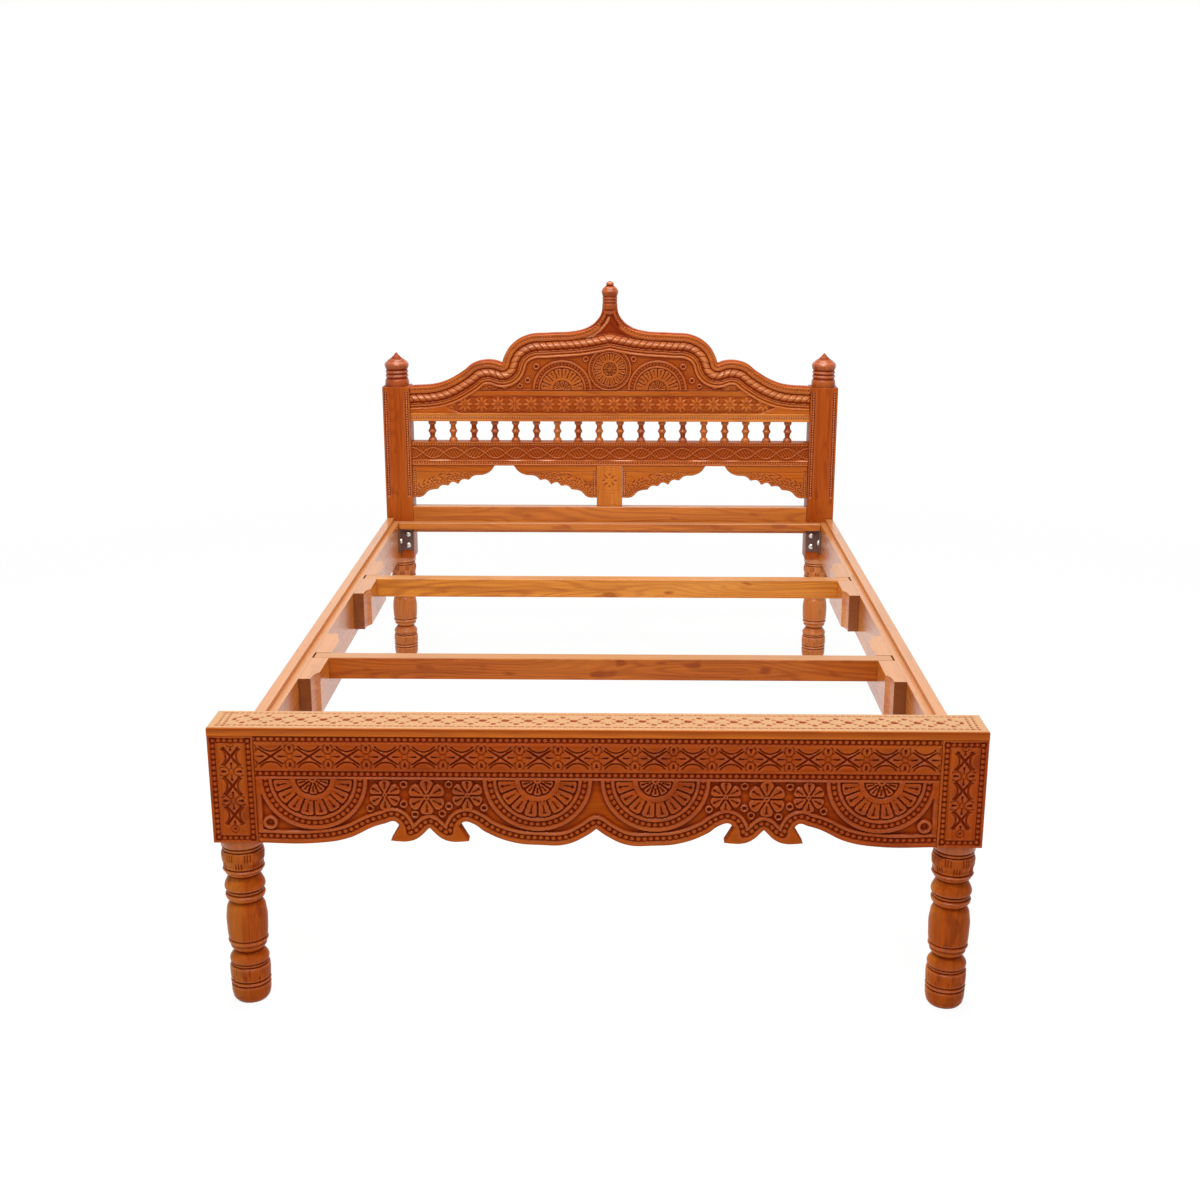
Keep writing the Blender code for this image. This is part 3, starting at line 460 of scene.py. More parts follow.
# The crest's carved border keeps to the shoulders and leaves out the point under the finial
CREST_BORDER = (*CREST_EDGE[:12], (0.098, 0.737, False), (0.000, 0.787, True))
CREST_RISE = 0.223
SPANDREL_EDGE = (
    (0.000, 0.00, True), (0.110, 0.02, False), (0.200, 0.21, False), (0.304, 0.26, True),
    (0.350, 0.37, False), (0.433, 0.37, True), (0.480, 0.48, False), (0.554, 0.42, True),
    (0.605, 0.56, False), (0.684, 0.55, True), (0.740, 0.67, False), (0.870, 0.72, False),
    (0.950, 0.83, False), (1.000, 1.00, True),
)
CURVE_STEPS = 14
HANDLE_REACH = 2.5614
INSET_KEEP = 0.985
INSET_SEARCH = 1.5

# Turnings: (height, depth turned off the square or the full radius)
LEG_TURNING = (
    (0.3005, 0.0020), (0.2984, 0.0064), (0.2960, 0.0038), (0.2936, 0.0036), (0.2914, 0.0068),
    (0.2892, 0.0030), (0.2820, 0.0014), (0.2730, 0.0020), (0.2650, 0.0042), (0.2604, 0.0038),
    (0.2577, 0.0068), (0.2544, 0.0024), (0.2508, 0.0056), (0.2484, 0.0060), (0.2425, 0.0126),
    (0.2205, 0.0034), (0.2182, 0.0036), (0.2158, 0.0086), (0.2122, 0.0056), (0.2086, 0.0084),
    (0.2050, 0.0040), (0.2010, 0.0048), (0.1935, 0.0116), (0.1775, 0.0050), (0.1580, 0.0029),
    (0.1350, 0.0036), (0.1228, 0.0046), (0.1204, 0.0074), (0.1158, 0.0038), (0.1108, 0.0076),
    (0.1060, 0.0072), (0.0970, 0.0152), (0.0800, 0.0044), (0.0776, 0.0046), (0.0752, 0.0080),
    (0.0724, 0.0054), (0.0696, 0.0080), (0.0664, 0.0038), (0.0590, 0.0034), (0.0436, 0.0038),
    (0.0406, 0.0070), (0.0366, 0.0034), (0.0324, 0.0068), (0.0294, 0.0040), (0.0180, 0.0044),
    (0.0070, 0.0064), (0.0000, 0.0108),
)
POST_FINIAL_TURNING = (
    (0.0970, 0.0390), (0.0890, 0.0324), (0.0815, 0.0253), (0.0738, 0.0136), (0.0662, 0.0054),
    (0.0611, 0.0039), (0.0534, 0.0056), (0.0470, 0.0094), (0.0412, 0.0058), (0.0356, 0.0094),
    (0.0300, 0.0056), (0.0232, 0.0092), (0.0170, 0.0052), (0.0076, 0.0042), (-0.0020, 0.0042),
)
CREST_FINIAL_TURNING = (
    (0.0780, 0.0243), (0.0755, 0.0160), (0.0715, 0.0135), (0.0680, 0.0130), (0.0660, 0.0150),
    (0.0580, 0.0050), (0.0490, 0.0000), (0.0400, 0.0022), (0.0345, 0.0045), (0.0300, 0.0025),
    (0.0260, 0.0045), (0.0215, 0.0025), (0.0170, 0.0045), (0.0120, 0.0023), (0.0003, 0.0023),
)
SPINDLE_TURNING = (
    (1.00, 0.0016), (0.87, 0.0016), (0.76, 0.0062), (0.62, 0.0050), (0.50, 0.0006), (0.38, 0.0050),
    (0.23, 0.0062), (0.10, 0.0004), (0.00, 0.0000),
)
BOLT_HEAD_TURNING = ((1.00, 1.00), (0.97, 0.70), (0.85, 0.40), (0.62, 0.12), (0.35, 0.00), (0.00, 0.00))
FINIAL_RADIUS = 0.0243
SPINDLE_RADIUS = 0.0129
BOLT_HEAD_RADIUS = 0.0083
BOLT_HEAD_HEIGHT = 0.0055
BLOCK_FOOT = 0.315
LEG_TOP_RING = 0.0006
BULGE_SHARE = 0.35
BULGE_POWERS = (1.8, 0.6)
LEAST_RADIUS = 0.0002
GROOVE_DROP = 0.0017
RING_WEAR_AND_GLINT = 0.8

# Turned members: length of a profile step, sides of the round, and tones
POST_STEP = 0.0010
LEG_SIDES = 140
LEG_POLISH = 0.03
LEG_SPAN = 4
FINIAL_STEP = 0.0008
FINIAL_SIDES = 72
SPINDLE_STEP = 0.018
SPINDLE_SIDES = 36
SPINDLE_GROOVE_STAIN_AND_SHADE = 0.4
SPINDLE_POLISH = 0.35
SPINDLE_SHUFFLE = (5, 7)
BOLT_SIDES = 28

# Figure of teak: noises as (stretch, detail, roughness), and the values between which each one shows
GROWTH_NOISE = ((1.3, 11.0, 11.0), 1.5, 0.35)
GROWTH_LINES = 118.0
GROWTH_EDGE = (-0.2, 1.0)
GROWTH_SHARE = 0.60
FIBRE_NOISE = ((9.0, 420.0, 420.0), 3.0, 0.6)
FIBRE_SHADE = (0.30, 0.70, 0.84, 1.12)
STREAK_NOISE = ((1.4, 55.0, 55.0), 4.0, 0.6)
STREAK_EDGE = (0.46, 0.72)
KNOT_NOISE = ((10.0, 26.0, 26.0), 1.0, 0.4)
KNOT_EDGE = (0.65, 0.73)
CLOUD_NOISE = ((1.1, 6.0, 6.0), 3.0, 0.5)
CLOUD_EDGE = (0.48, 0.70)

# Stain, gloss and bump of the teak: shares, and the values between which they set in
WEAR_AND_GLINT_SHARE = 0.45
WORN_COAT = 0.95
STAIN_AND_SHADE_EDGE = (0.12, 0.95)
STAIN_AND_SHADE_SHARE = 0.92
PORE_ROUGHNESS = (0.25, 0.75, 0.08, -0.05)
CUT_ROUGHNESS = 0.22
TOP_EDGE = (0.55, 0.92)
END_EDGE = (0.80, 0.97)
END_SHARE = 0.75
FIBRE_BUMP = 0.10
FIBRE_HEIGHT = 0.0006

# Clouds in the metal finishes
METAL_NOISE = ((240.0, 240.0, 240.0), 4.0, 0.6)
METAL_EDGE = (0.35, 0.70)
METAL_GLOSS_EDGE = (0.30, 0.70)
METAL_GLOSS_RISE = 0.18


def node_box(name):
    """Lowest and highest corner of a CAD node, as arrays."""
    low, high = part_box(name)
    return np.array(low), np.array(high)


def half_between_posts():
    """Half the clear width between the posts, which the foot ledge fills."""
    return node_box("foot_ledge")[1][0]


def eased(value, low, high):
    """Share from 0 at low to 1 at high, eased at both ends: 3t^2 - 2t^3."""
    share = np.clip((value - low) / (high - low), 0.0, 1.0)
    return share * share * (3.0 - 2.0 * share)


def stripe(distance, half_width, soft=SOFT):
    """1 within half_width of a line and 0 beyond it, with a soft edge on each side."""
    return 1.0 - eased(np.abs(distance), half_width - soft, half_width + soft)


def fold(value, pitch):
    """Signed distance to the nearest multiple of the pitch."""
    return value - pitch * np.round(value / pitch)


def round_arris(distance, radius=ARRIS):
    """Fall of a rounded edge: a quarter circle that ends at the edge."""
    inner = np.clip(1.0 - distance / radius, 0.0, 1.0)
    return radius * (1.0 - np.sqrt(1.0 - inner * inner))


def lines_at(value, levels, half_width):
    """1 on each line of a set of levels and 0 between them."""
    return np.maximum.reduce([stripe(value - level, half_width) for level in levels])


def bead_row(along, across, pitch=BEAD_PITCH, size=1.0):
    """Depth of a sunk channel with half-round beads: its depth times 1 - sqrt(1 - r^2) about each bead."""
    radius = BEAD_RADIUS * size
    reach = (fold(along, pitch) ** 2 + across ** 2) / radius ** 2
    dome = np.sqrt(np.clip(1.0 - reach, 0.0, 1.0))
    return BEAD_DEPTH * size * stripe(across, BEAD_CHANNEL * size) * (1.0 - dome)


def bead_tint(*rows):
    """Darkening share of bead rows, over the whole width of their channels."""
    return BEAD_STAIN * np.any([row > 0.0 for row in rows], axis=0)


def bead_lights(row, share):
    """Stain of a row of beads: the share in the channel, and a painted glint below 0 on each bead's crown."""
    return np.where(row > BEAD_CROWN * BEAD_DEPTH, share, BEAD_GLINT) * (row > 0.0)


def drawn_curve(knots):
    """Closed curve through knots: Bezier pieces, with smooth handles along the sum of both unit chords."""
    points = np.array([knot[:2] for knot in knots])
    corner = np.array([knot[2] for knot in knots])[:, None]
    before = points - np.roll(points, 1, axis=0)
    after = np.roll(points, -1, axis=0) - points
    length_before = np.hypot(*before.T)[:, None]
    length_after = np.hypot(*after.T)[:, None]
    along = before / length_before + after / length_after
    spread = HANDLE_REACH * np.maximum(np.hypot(*along.T)[:, None], 1e-9)
    handle_in = np.where(corner, points - before / 3, points - along * length_before / spread)
    handle_out = np.where(corner, points + after / 3, points + along * length_after / spread)
    share = np.linspace(0.0, 1.0, CURVE_STEPS, endpoint=False)[None, :, None]
    start = points[:, None]
    end = np.roll(points, -1, axis=0)[:, None]
    reach_in = np.roll(handle_in, -1, axis=0)[:, None]
    curve = (1 - share) ** 3 * start + 3 * (1 - share) ** 2 * share * handle_out[:, None]
    curve = curve + 3 * (1 - share) * share ** 2 * reach_in + share ** 3 * end
    return curve.reshape(-1, 2)


def evenly_spaced(path, spacing):
    """The same path with points an even distance apart, by its running length."""
    run = np.concatenate([[0.0], np.cumsum(np.hypot(*np.diff(path, axis=0).T))])
    count = max(2, int(round(run[-1] / spacing)) + 1)
    stations = np.linspace(0.0, run[-1], count)
    return np.stack([np.interp(stations, run, path[:, axis]) for axis in (0, 1)], axis=1)


def spaced_outline(knots, spacing):
    """Closed outline with even points between its corners, so every corner stays."""
    curve = drawn_curve(knots)
    corners = [index * CURVE_STEPS for index, knot in enumerate(knots) if knot[2]]
    loop = np.concatenate([curve[corners[0]:], curve[:corners[0] + 1]])
    stops = [corner - corners[0] for corner in corners] + [len(curve)]
    spans = [evenly_spaced(loop[start:stop + 1], spacing)[:-1] for start, stop in zip(stops, stops[1:])]
    return np.concatenate(spans)


def follow(points, path, reach):
    """Distance to a path and length run along it, for points within reach, one straight piece at a time."""
    order = np.argsort(points[:, 0])
    ranked = points[order]
    steps = np.diff(path, axis=0)
    lengths = np.hypot(*steps.T)
    starts = np.cumsum(lengths) - lengths
    first = np.searchsorted(ranked[:, 0], np.minimum(path[:-1, 0], path[1:, 0]) - reach)
    last = np.searchsorted(ranked[:, 0], np.maximum(path[:-1, 0], path[1:, 0]) + reach)
    distance = np.full(len(points), reach)
    along = np.zeros(len(points))
    for piece in np.flatnonzero(lengths > 0.0):
        near = order[first[piece]:last[piece]]
        offset = points[near] - path[piece]
        share = np.clip(offset @ steps[piece] / lengths[piece] ** 2, 0.0, 1.0)
        gap = np.hypot(*(offset - share[:, None] * steps[piece]).T)
        closer = gap < distance[near]
        distance[near[closer]] = gap[closer]
        along[near[closer]] = starts[piece] + share[closer] * lengths[piece]
    return distance, along


def inset_path(path, inset):
    """A path moved to its left by its own normals, keeping the points that stay that far off it."""
    along = np.gradient(path, axis=0)
    length = np.maximum(np.hypot(*along.T), 1e-12)[:, None]
    moved = path + np.stack([-along[:, 1], along[:, 0]], axis=1) / length * inset
    distance, _ = follow(moved, path, inset * INSET_SEARCH)
    return moved[distance > inset * INSET_KEEP]


def inside(points, outline):
    """Which points lie inside a closed outline: an odd count of edges crossed by a line to the right."""
    odd = np.zeros(len(points), dtype=bool)
    order = np.argsort(points[:, 1])
    levels = points[order, 1]
    after = np.roll(outline, -1, axis=0)
    first = np.searchsorted(levels, np.minimum(outline[:, 1], after[:, 1]))
    last = np.searchsorted(levels, np.maximum(outline[:, 1], after[:, 1]))
    for start, end, low, high in zip(outline, after, first, last):
        near = order[low:high]
        rise = end[1] - start[1] or 1.0
        crossing = start[0] + (points[near, 1] - start[1]) * (end[0] - start[0]) / rise
        odd[near] ^= points[near, 0] < crossing
    return odd


def net_over(outline, cell):
    """Points and triangles over an outline: a staggered lattice inside it, joined up by Delaunay's rule."""
    low = outline.min(axis=0)
    high = outline.max(axis=0)
    row_step = cell * math.sqrt(0.75)
    across, up = np.meshgrid(np.arange(low[0], high[0], cell), np.arange(low[1], high[1], row_step))
    across[1::2] += cell / 2
    lattice = np.stack([across.ravel(), up.ravel()], axis=1)
    lattice = lattice[inside(lattice, outline)]
    distance, _ = follow(lattice, np.concatenate([outline, outline[:1]]), cell * 2)
    points = np.concatenate([outline, lattice[distance > cell * EDGE_CLEARANCE]])
    ring = np.arange(len(outline))
    edges = np.stack([ring, np.roll(ring, -1)], axis=1)
    net = delaunay_2d_cdt(points.tolist(), edges.tolist(), [], 1, 1e-7)
    return points, np.array(net[2])


def carved_tones(depth, stain, faces):
    """Recess and wear of a carved face, from how far each point lies under or over the mean level round it: the
    recess is stain with painted shade in creases and deep ground, and crests that stand over that level get
    real wear with a painted highlight.

    A stain below 0 marks a polished crest with a painted glint, which counts with the wear.
    """
    start = faces.ravel()
    end = np.roll(faces, -1, axis=1).ravel()
    count = np.bincount(start, minlength=len(depth)) + np.bincount(end, minlength=len(depth))
    level = depth
    for _ in range(LEVEL_PASSES):
        total = np.bincount(start, level[end], len(depth)) + np.bincount(end, level[start], len(depth))
        level = total / np.maximum(count, 1)
    under = (depth - level) / CREASE_DROP
    recess = DEEP_GROUND_SHADE * np.clip(depth / GROUND, 0.0, 1.0) + np.clip(under, 0.0, 1.0) + stain
    return np.clip(recess, 0.0, 1.0), np.clip(np.maximum(-CREST_WEAR_AND_GLINT * under, -stain), 0.0, 1.0)


def solid_mesh(name, points, polygons, recess, wear_and_glint):
    """A closed mesh from one array of points and arrays of polygons, smooth but for its square edges.

    The first points carry the recess, which is stain with painted shade, and the wear with painted glints, that
    the finishes read; the points after them have none.
    """
    corners = np.concatenate([group.ravel() for group in polygons])
    sizes = np.concatenate([np.full(len(group), group.shape[1]) for group in polygons])
    mesh = bpy.data.meshes.new(name)
    mesh.vertices.add(len(points))
    mesh.vertices.foreach_set("co", np.ascontiguousarray(points, dtype=np.float32).ravel())
    mesh.loops.add(len(corners))
    mesh.loops.foreach_set("vertex_index", corners.astype(np.int32))
    mesh.polygons.add(len(sizes))
    mesh.polygons.foreach_set("loop_start", (np.cumsum(sizes) - sizes).astype(np.int32))
    mesh.update(calc_edges=True)
    mesh.validate()
    mesh.polygons.foreach_set("use_smooth", np.ones(len(mesh.polygons), dtype=bool))
    mesh.set_sharp_from_angle(angle=SQUARE_EDGE)
    for label, tone in (("recess", recess), ("wear_and_glint", wear_and_glint)):
        values = np.zeros(len(points), dtype=np.float32)
        values[:len(tone)] = tone
        mesh.attributes.new(label, "FLOAT", "POINT").data.foreach_set("value", values)
    return mesh


def add_object(name, data):
    """Put an object in the scene."""
    item = bpy.data.objects.new(name, data)
    bpy.context.scene.collection.objects.link(item)
    return item


def add_piece(mesh, finish, slot, *nodes):
    """Put a mesh on the bed's frame in place of the CAD nodes that it stands for."""
    mesh.materials.append(finish)
    piece = add_object(mesh.name, mesh)
    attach(piece, "frame")
    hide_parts(*nodes)


def facing_foot(front_y):
    """Place points (across, up, depth) on an upright face looking towards the foot of the bed."""
    return lambda across, up, depth: np.stack([across, front_y + depth, up], axis=1)


def facing_up(top_z):
    """Place points (across, along, depth) on a level face looking up."""
    return lambda across, along, depth: np.stack([across, along, top_z - depth], axis=1)


def outlined_board(name, knots, cell, thick, place, relief):
    """A carved board of any outline: a front net at the relief's depth, a wall round it and a flat back."""
    outline = spaced_outline(knots, cell)
    points, faces = net_over(outline, cell)
    edge, _ = follow(points, np.concatenate([outline, outline[:1]]), ARRIS * 2)
    edge[:len(outline)] = 0.0
    cut, stain = relief(points)
    depth = np.maximum(cut, round_arris(edge))
    depth[:len(outline)] = np.maximum(depth[:len(outline)], ARRIS)
    front = place(points[:, 0], points[:, 1], depth)
    back = place(outline[:, 0], outline[:, 1], np.full(len(outline), thick))
    ring = np.arange(len(outline))
    far = ring + len(points)
    wall = np.stack([np.roll(ring, -1), ring, far, np.roll(far, -1)], axis=1)
    polygons = [faces, wall, far[::-1][None]]
    return solid_mesh(name, np.concatenate([front, back]), polygons, *carved_tones(depth, stain, faces))


def grid_lines(low, high, cell):
    """Even grid lines between two edges, with closer ones over the rounded arris at each end."""
    arris = ARRIS * (1.0 - np.cos(np.linspace(0.0, math.pi / 2, ARRIS_STEPS)))[:-1]
    count = max(2, int(round((high - low - 2 * ARRIS) / cell)) + 1)
    even = np.linspace(low + ARRIS, high - ARRIS, count)
    return np.concatenate([low + arris, even, (high - arris)[::-1]])


def squared_board(name, low, high, cell, thick, place, relief):
    """A carved rectangular board: an even grid at the relief's depth, four walls and a flat back."""
    columns = grid_lines(low[0], high[0], cell)
    rows = grid_lines(low[1], high[1], cell)
    across, up = (axis.ravel() for axis in np.meshgrid(columns, rows))
    points = np.stack([across, up], axis=1)
    edge = np.minimum.reduce([across - low[0], high[0] - across, up - low[1], high[1] - up])
    cut, stain = relief(points)
    depth = np.maximum(cut, round_arris(edge))
    grid = np.arange(len(points)).reshape(len(rows), len(columns))
    faces = np.stack([grid[:-1, :-1], grid[:-1, 1:], grid[1:, 1:], grid[1:, :-1]], axis=-1).reshape(-1, 4)
    back = np.array([(low[0], low[1]), (high[0], low[1]), (high[0], high[1]), (low[0], high[1])])
    far = np.arange(4) + len(points)
    sides = (grid[0], grid[:, -1], grid[-1][::-1], grid[::-1, 0])
    walls = [
        np.concatenate([side[::-1], far[[index, (index + 1) % 4]]])[None] for index, side in enumerate(sides)
    ]
    placed = np.concatenate([place(across, up, depth), place(back[:, 0], back[:, 1], np.full(4, thick))])
    return solid_mesh(name, placed, [faces, *walls, far[::-1][None]], *carved_tones(depth, stain, faces))


def turned_profile(turning, radius, spacing):
    """Fine profile of a turning: each run is part eased wave, part bulge (1 - (1 - t)^1.8)^0.6."""
    heights = np.array([height for height, _ in turning])
    radii = radius - np.array([depth for _, depth in turning])
    counts = np.maximum(3, np.round(np.abs(np.diff(heights)) / spacing)).astype(int)
    runs = zip(heights, heights[1:], counts)
    fine = [np.linspace(top, low, count, endpoint=False) for top, low, count in runs]
    fine = np.concatenate([*fine, heights[-1:]])
    index = np.clip(np.searchsorted(-heights, -fine, side="right") - 1, 0, len(heights) - 2)
    share = (heights[index] - fine) / (heights[index] - heights[index + 1])
    first = radii[index]
    last = radii[index + 1]
    share = np.where(last >= first, share, 1.0 - share)
    bulge = (1.0 - (1.0 - share) ** BULGE_POWERS[0]) ** BULGE_POWERS[1]
    swell = BULGE_SHARE * bulge + (1.0 - BULGE_SHARE) * eased(share, 0.0, 1.0)
    return fine, np.minimum(first, last) + np.abs(last - first) * swell


def turned_solid(name, heights, radii, sides, place, incised=None, groove_stain_and_shade=1.0, polish=0.10, span=9):
    """A turned solid: each profile point goes round a circle, less any incised depth, and both ends close.

    Grooves, where the radius is under its mean over the span, darken by the groove_stain_and_shade share as
    stain with painted shade; polish is the wear elsewhere, and rings that stand proud get more of it as a
    painted highlight.
    """
    angle = np.linspace(0.0, 2 * math.pi, sides, endpoint=False)
    turn, height = np.meshgrid(angle, heights)
    radius = np.repeat(radii[:, None], sides, axis=1)
    cut = np.zeros_like(radius) if incised is None else incised(turn, height)
    radius = np.maximum(radius - cut, LEAST_RADIUS)
    round_points = [axis.ravel() for axis in (radius * np.cos(turn), radius * np.sin(turn), height)]
    poles = np.array([heights[0], heights[-1]])
    points = np.concatenate([place(*round_points), place(np.zeros(2), np.zeros(2), poles)])
    grid = np.arange(radius.size).reshape(-1, sides)
    after = np.roll(grid, -1, axis=1)
    quads = np.stack([grid[1:], after[1:], after[:-1], grid[:-1]], axis=-1).reshape(-1, 4)
    top = np.full(sides, grid.size)
    caps = [np.stack([top, grid[0], after[0]], axis=1), np.stack([top + 1, after[-1], grid[-1]], axis=1)]
    window = np.ones(2 * min(span, len(radii) // 4) + 1)
    padded = np.pad(radii, len(window) // 2, mode="edge")
    near = np.convolve(padded, window / window.sum(), mode="valid")
    under = np.repeat(((near - radii) / GROOVE_DROP)[:, None], sides, axis=1)
    recess = np.clip(groove_stain_and_shade * np.clip(under, 0.0, 1.0) + cut / STROKE_DEPTH, 0.0, 1.0)
    wear_and_glint = np.clip(polish - RING_WEAR_AND_GLINT * under, 0.0, 1.0)
    return solid_mesh(name, points, [quads, *caps], recess.ravel(), wear_and_glint.ravel())


def standing(x, y, z=0.0):
    """Place turned points (across, along, height) on an upright axis."""
    return lambda across, along, height: np.stack([x + across, y + along, z + height], axis=1)


def petal_ring(radius, angle, count, inner, outer, roundness=1.0):
    """Depth share of a ring of petals: wedges with round ends, a groove between them, a slit and a drop.

    The distance inside a petal is c - hypot(c - side distance, c - end distance), with c the radius of its
    corners: the half-round end's radius times the roundness.
    """
    step = 2 * math.pi / count
    turn = fold(angle - step / 2, step)
    along = radius * np.cos(turn)
    side = np.abs(radius * np.sin(turn))
    half_sine = math.sin(step / 2)
    end = outer * half_sine / (1.0 + half_sine)
    corner = roundness * end
    wedge = along * half_sine - side * math.cos(step / 2)
    within = corner - np.hypot(np.maximum(corner - wedge, 0.0), np.maximum(corner - (outer - radius), 0.0))
    within = within - PETAL_GAP
    share = (along - inner) / (outer - inner)
    slit = stripe(side, SLIT_HALF + SLIT_SPREAD * share, SLIT_SOFT)
    slit = slit * (share > SLIT_ENDS[0]) * (share < SLIT_ENDS[1])
    from_drop = np.hypot(along - inner - DROP_PLACE * (outer - inner), side)
    slit = np.maximum(slit, stripe(from_drop, DROP_RADIUS + DROP_SPREAD * end))
    dished = DISH_SHARE * eased(within, *PETAL_DISH)
    cuts = np.maximum.reduce([1.0 - eased(within, *PETAL_EDGE), SLIT_SHARE * slit, dished])
    return np.where(radius > inner, cuts, 1.0)


def small_ring(points, middle, radius):
    """Depth share of a raised ring with a wide hollow eye."""
    reach = np.hypot(points[:, 0] - middle[0], points[:, 1] - middle[1])
    return 1.0 - stripe(reach - (1.0 - RING_WALL) * radius, RING_WALL * radius)


def rosette(points, middle, radius):
    """Depth share of a six-petal rosette round a small ringed boss."""
    offset = points - np.array(middle)
    reach = np.hypot(*offset.T)
    angle = np.arctan2(offset[:, 1], offset[:, 0]) - math.pi / 3
    boss = ROSETTE_BOSS * radius
    petals = petal_ring(reach, angle, ROSETTE_PETALS, boss, radius)
    core = 1.0 - stripe(reach - BOSS_RING[0] * boss, BOSS_RING[1] * boss)
    return np.where(reach < boss * BOSS_REACH, core, np.where(reach < radius, petals, 1.0))


def wheel(points, middle, radius):
    """Depth share and bead tint of a carved wheel: ring, beads, ring, petals, ring, small flower and eye."""
    offset = (points - np.array(middle)) * FAN_RADIUS / radius
    reach = np.hypot(*offset.T)
    angle = np.arctan2(offset[:, 1], offset[:, 0])
    beaded = np.abs(reach - FAN_BEADS) < BEAD_CHANNEL
    beads = bead_row(angle * FAN_BEADS, reach - FAN_BEADS, math.pi * FAN_BEADS / FAN_BEAD_COUNT)
    depth = 1.0 - np.maximum.reduce([stripe(reach - level, half) for level, half in RIM_RINGS])
    depth = np.where(beaded, beads / GROUND, depth)
    for (outer, count, inner, roundness), (limit, level, half) in WHEEL_LAYERS:
        depth = np.where(reach < outer, petal_ring(reach, angle, count, inner, outer, roundness), depth)
        depth = np.where(reach < limit, 1.0 - stripe(reach - level, half), depth)
    return np.where(reach < FAN_RADIUS, depth, 1.0), BEAD_STAIN * beaded


def half_fan(points, middle, radius, opening):
    """Depth share and bead tint of half a wheel, above its middle for an opening of 1 and below it for -1."""
    depth, tint = wheel(points, middle, radius)
    within = opening * (points[:, 1] - middle[1]) > -FAN_OVERLAP
    return np.where(within, depth, 1.0), tint * within


def chain_cell(along, across, half_pitch, half_height, bold=1.0):
    """Depth and stain of a chain of flowers: crossed arms, petals with slits, knobs with drops, and bows.

    The arms are straight cuts that taper away from each crossing, and the bows are arcs above and below it.
    """
    from_flower = np.abs(fold(along, 2 * half_pitch))
    from_crossing = half_pitch - from_flower
    off = np.abs(across)
    rise = ARM_RISE * half_height / half_pitch
    span = np.clip(from_crossing / (ARM_REACH * half_pitch), 0.0, 1.0)
    off_arm = (off - rise * from_crossing) / math.hypot(1.0, rise)
    arm = stripe(off_arm, bold * (ARM_HALF - ARM_TAPER * span)) * (span < 1.0)
    share = np.clip((from_flower / half_pitch - LINK_SLIT_START) / LINK_SLIT_LENGTH, 0.0, 1.0)
    slit = stripe(across, LINK_SLIT_HALF + LINK_SLIT_SPREAD * share ** LINK_SLIT_CURVE)
    slit = slit * (share > 0.0) * (1.0 - eased(share, LINK_SLIT_END, 1.0))
    knob_up = off - KNOB_LEVEL * half_height
    collar = stripe(np.hypot(from_flower, knob_up * KNOB_SQUASH) - COLLAR_RADIUS, COLLAR_HALF)
    collar = collar * (off < KNOB_LIMIT * half_height)
    drop_half = KNOB_DROP_HALF + KNOB_DROP_SPREAD * eased(knob_up, -KNOB_DROP_EASE, KNOB_DROP_EASE)
    drop = stripe(from_flower, drop_half) * stripe(knob_up, *KNOB_DROP_LENGTH)
    notch = stripe(np.hypot(from_flower - NOTCH_PLACE, off - NOTCH_LEVEL * half_height), NOTCH_RADIUS)
    eye = stripe(np.hypot(from_flower, across) - EYE_RADIUS, EYE_HALF)
    off_bow = np.hypot(from_crossing, off - BOW_LEVEL * half_height) - BOW_RADIUS * half_height
    bow = stripe(off_bow, BOW_HALF * bold)
    bow = bow * (off < BOW_LIMIT * half_height) * (from_crossing < BOW_REACH * half_pitch)
    lesser = [weight * cut for weight, cut in zip(LINK_SHARES, (slit, collar, drop, notch, eye, bow))]
    stain = CHAIN_STAIN * np.maximum.reduce([arm, slit, drop, BOW_STAIN * bow])
    return CUT * np.maximum.reduce([arm, *lesser]), stain


def mirrored(knots):
    """Knots of one half as the other half has them, in reverse order."""
    return [(-across, up, corner) for across, up, corner in reversed(knots)]


def foot_edge_knots(low, half, drop):
    """Lower edge of the foot rail from side to side, about one kind of drop.

    Knots are shares of half the width and of the scallops' rise, and each drop is mirrored about its middle.
    """
    middle = FOOT_EDGE_DROP_CENTRE[0]
    far = [(2 * middle - share, rise, corner) for share, rise, corner in reversed(drop)]
    shares = [*FOOT_EDGE_CENTRE, *drop, FOOT_EDGE_DROP_CENTRE, *far, *FOOT_EDGE_END]
    right = [(share * half, low + rise * SCALLOP_RISE, corner) for share, rise, corner in shares]
    return [*mirrored(right[1:]), *right]


def open_run(knots, closing):
    """The drawn curve of an open run of knots, with the closing knots' part of the loop left out."""
    curve = drawn_curve([*knots, *closing])
    return curve[:(len(knots) - 1) * CURVE_STEPS + 1]


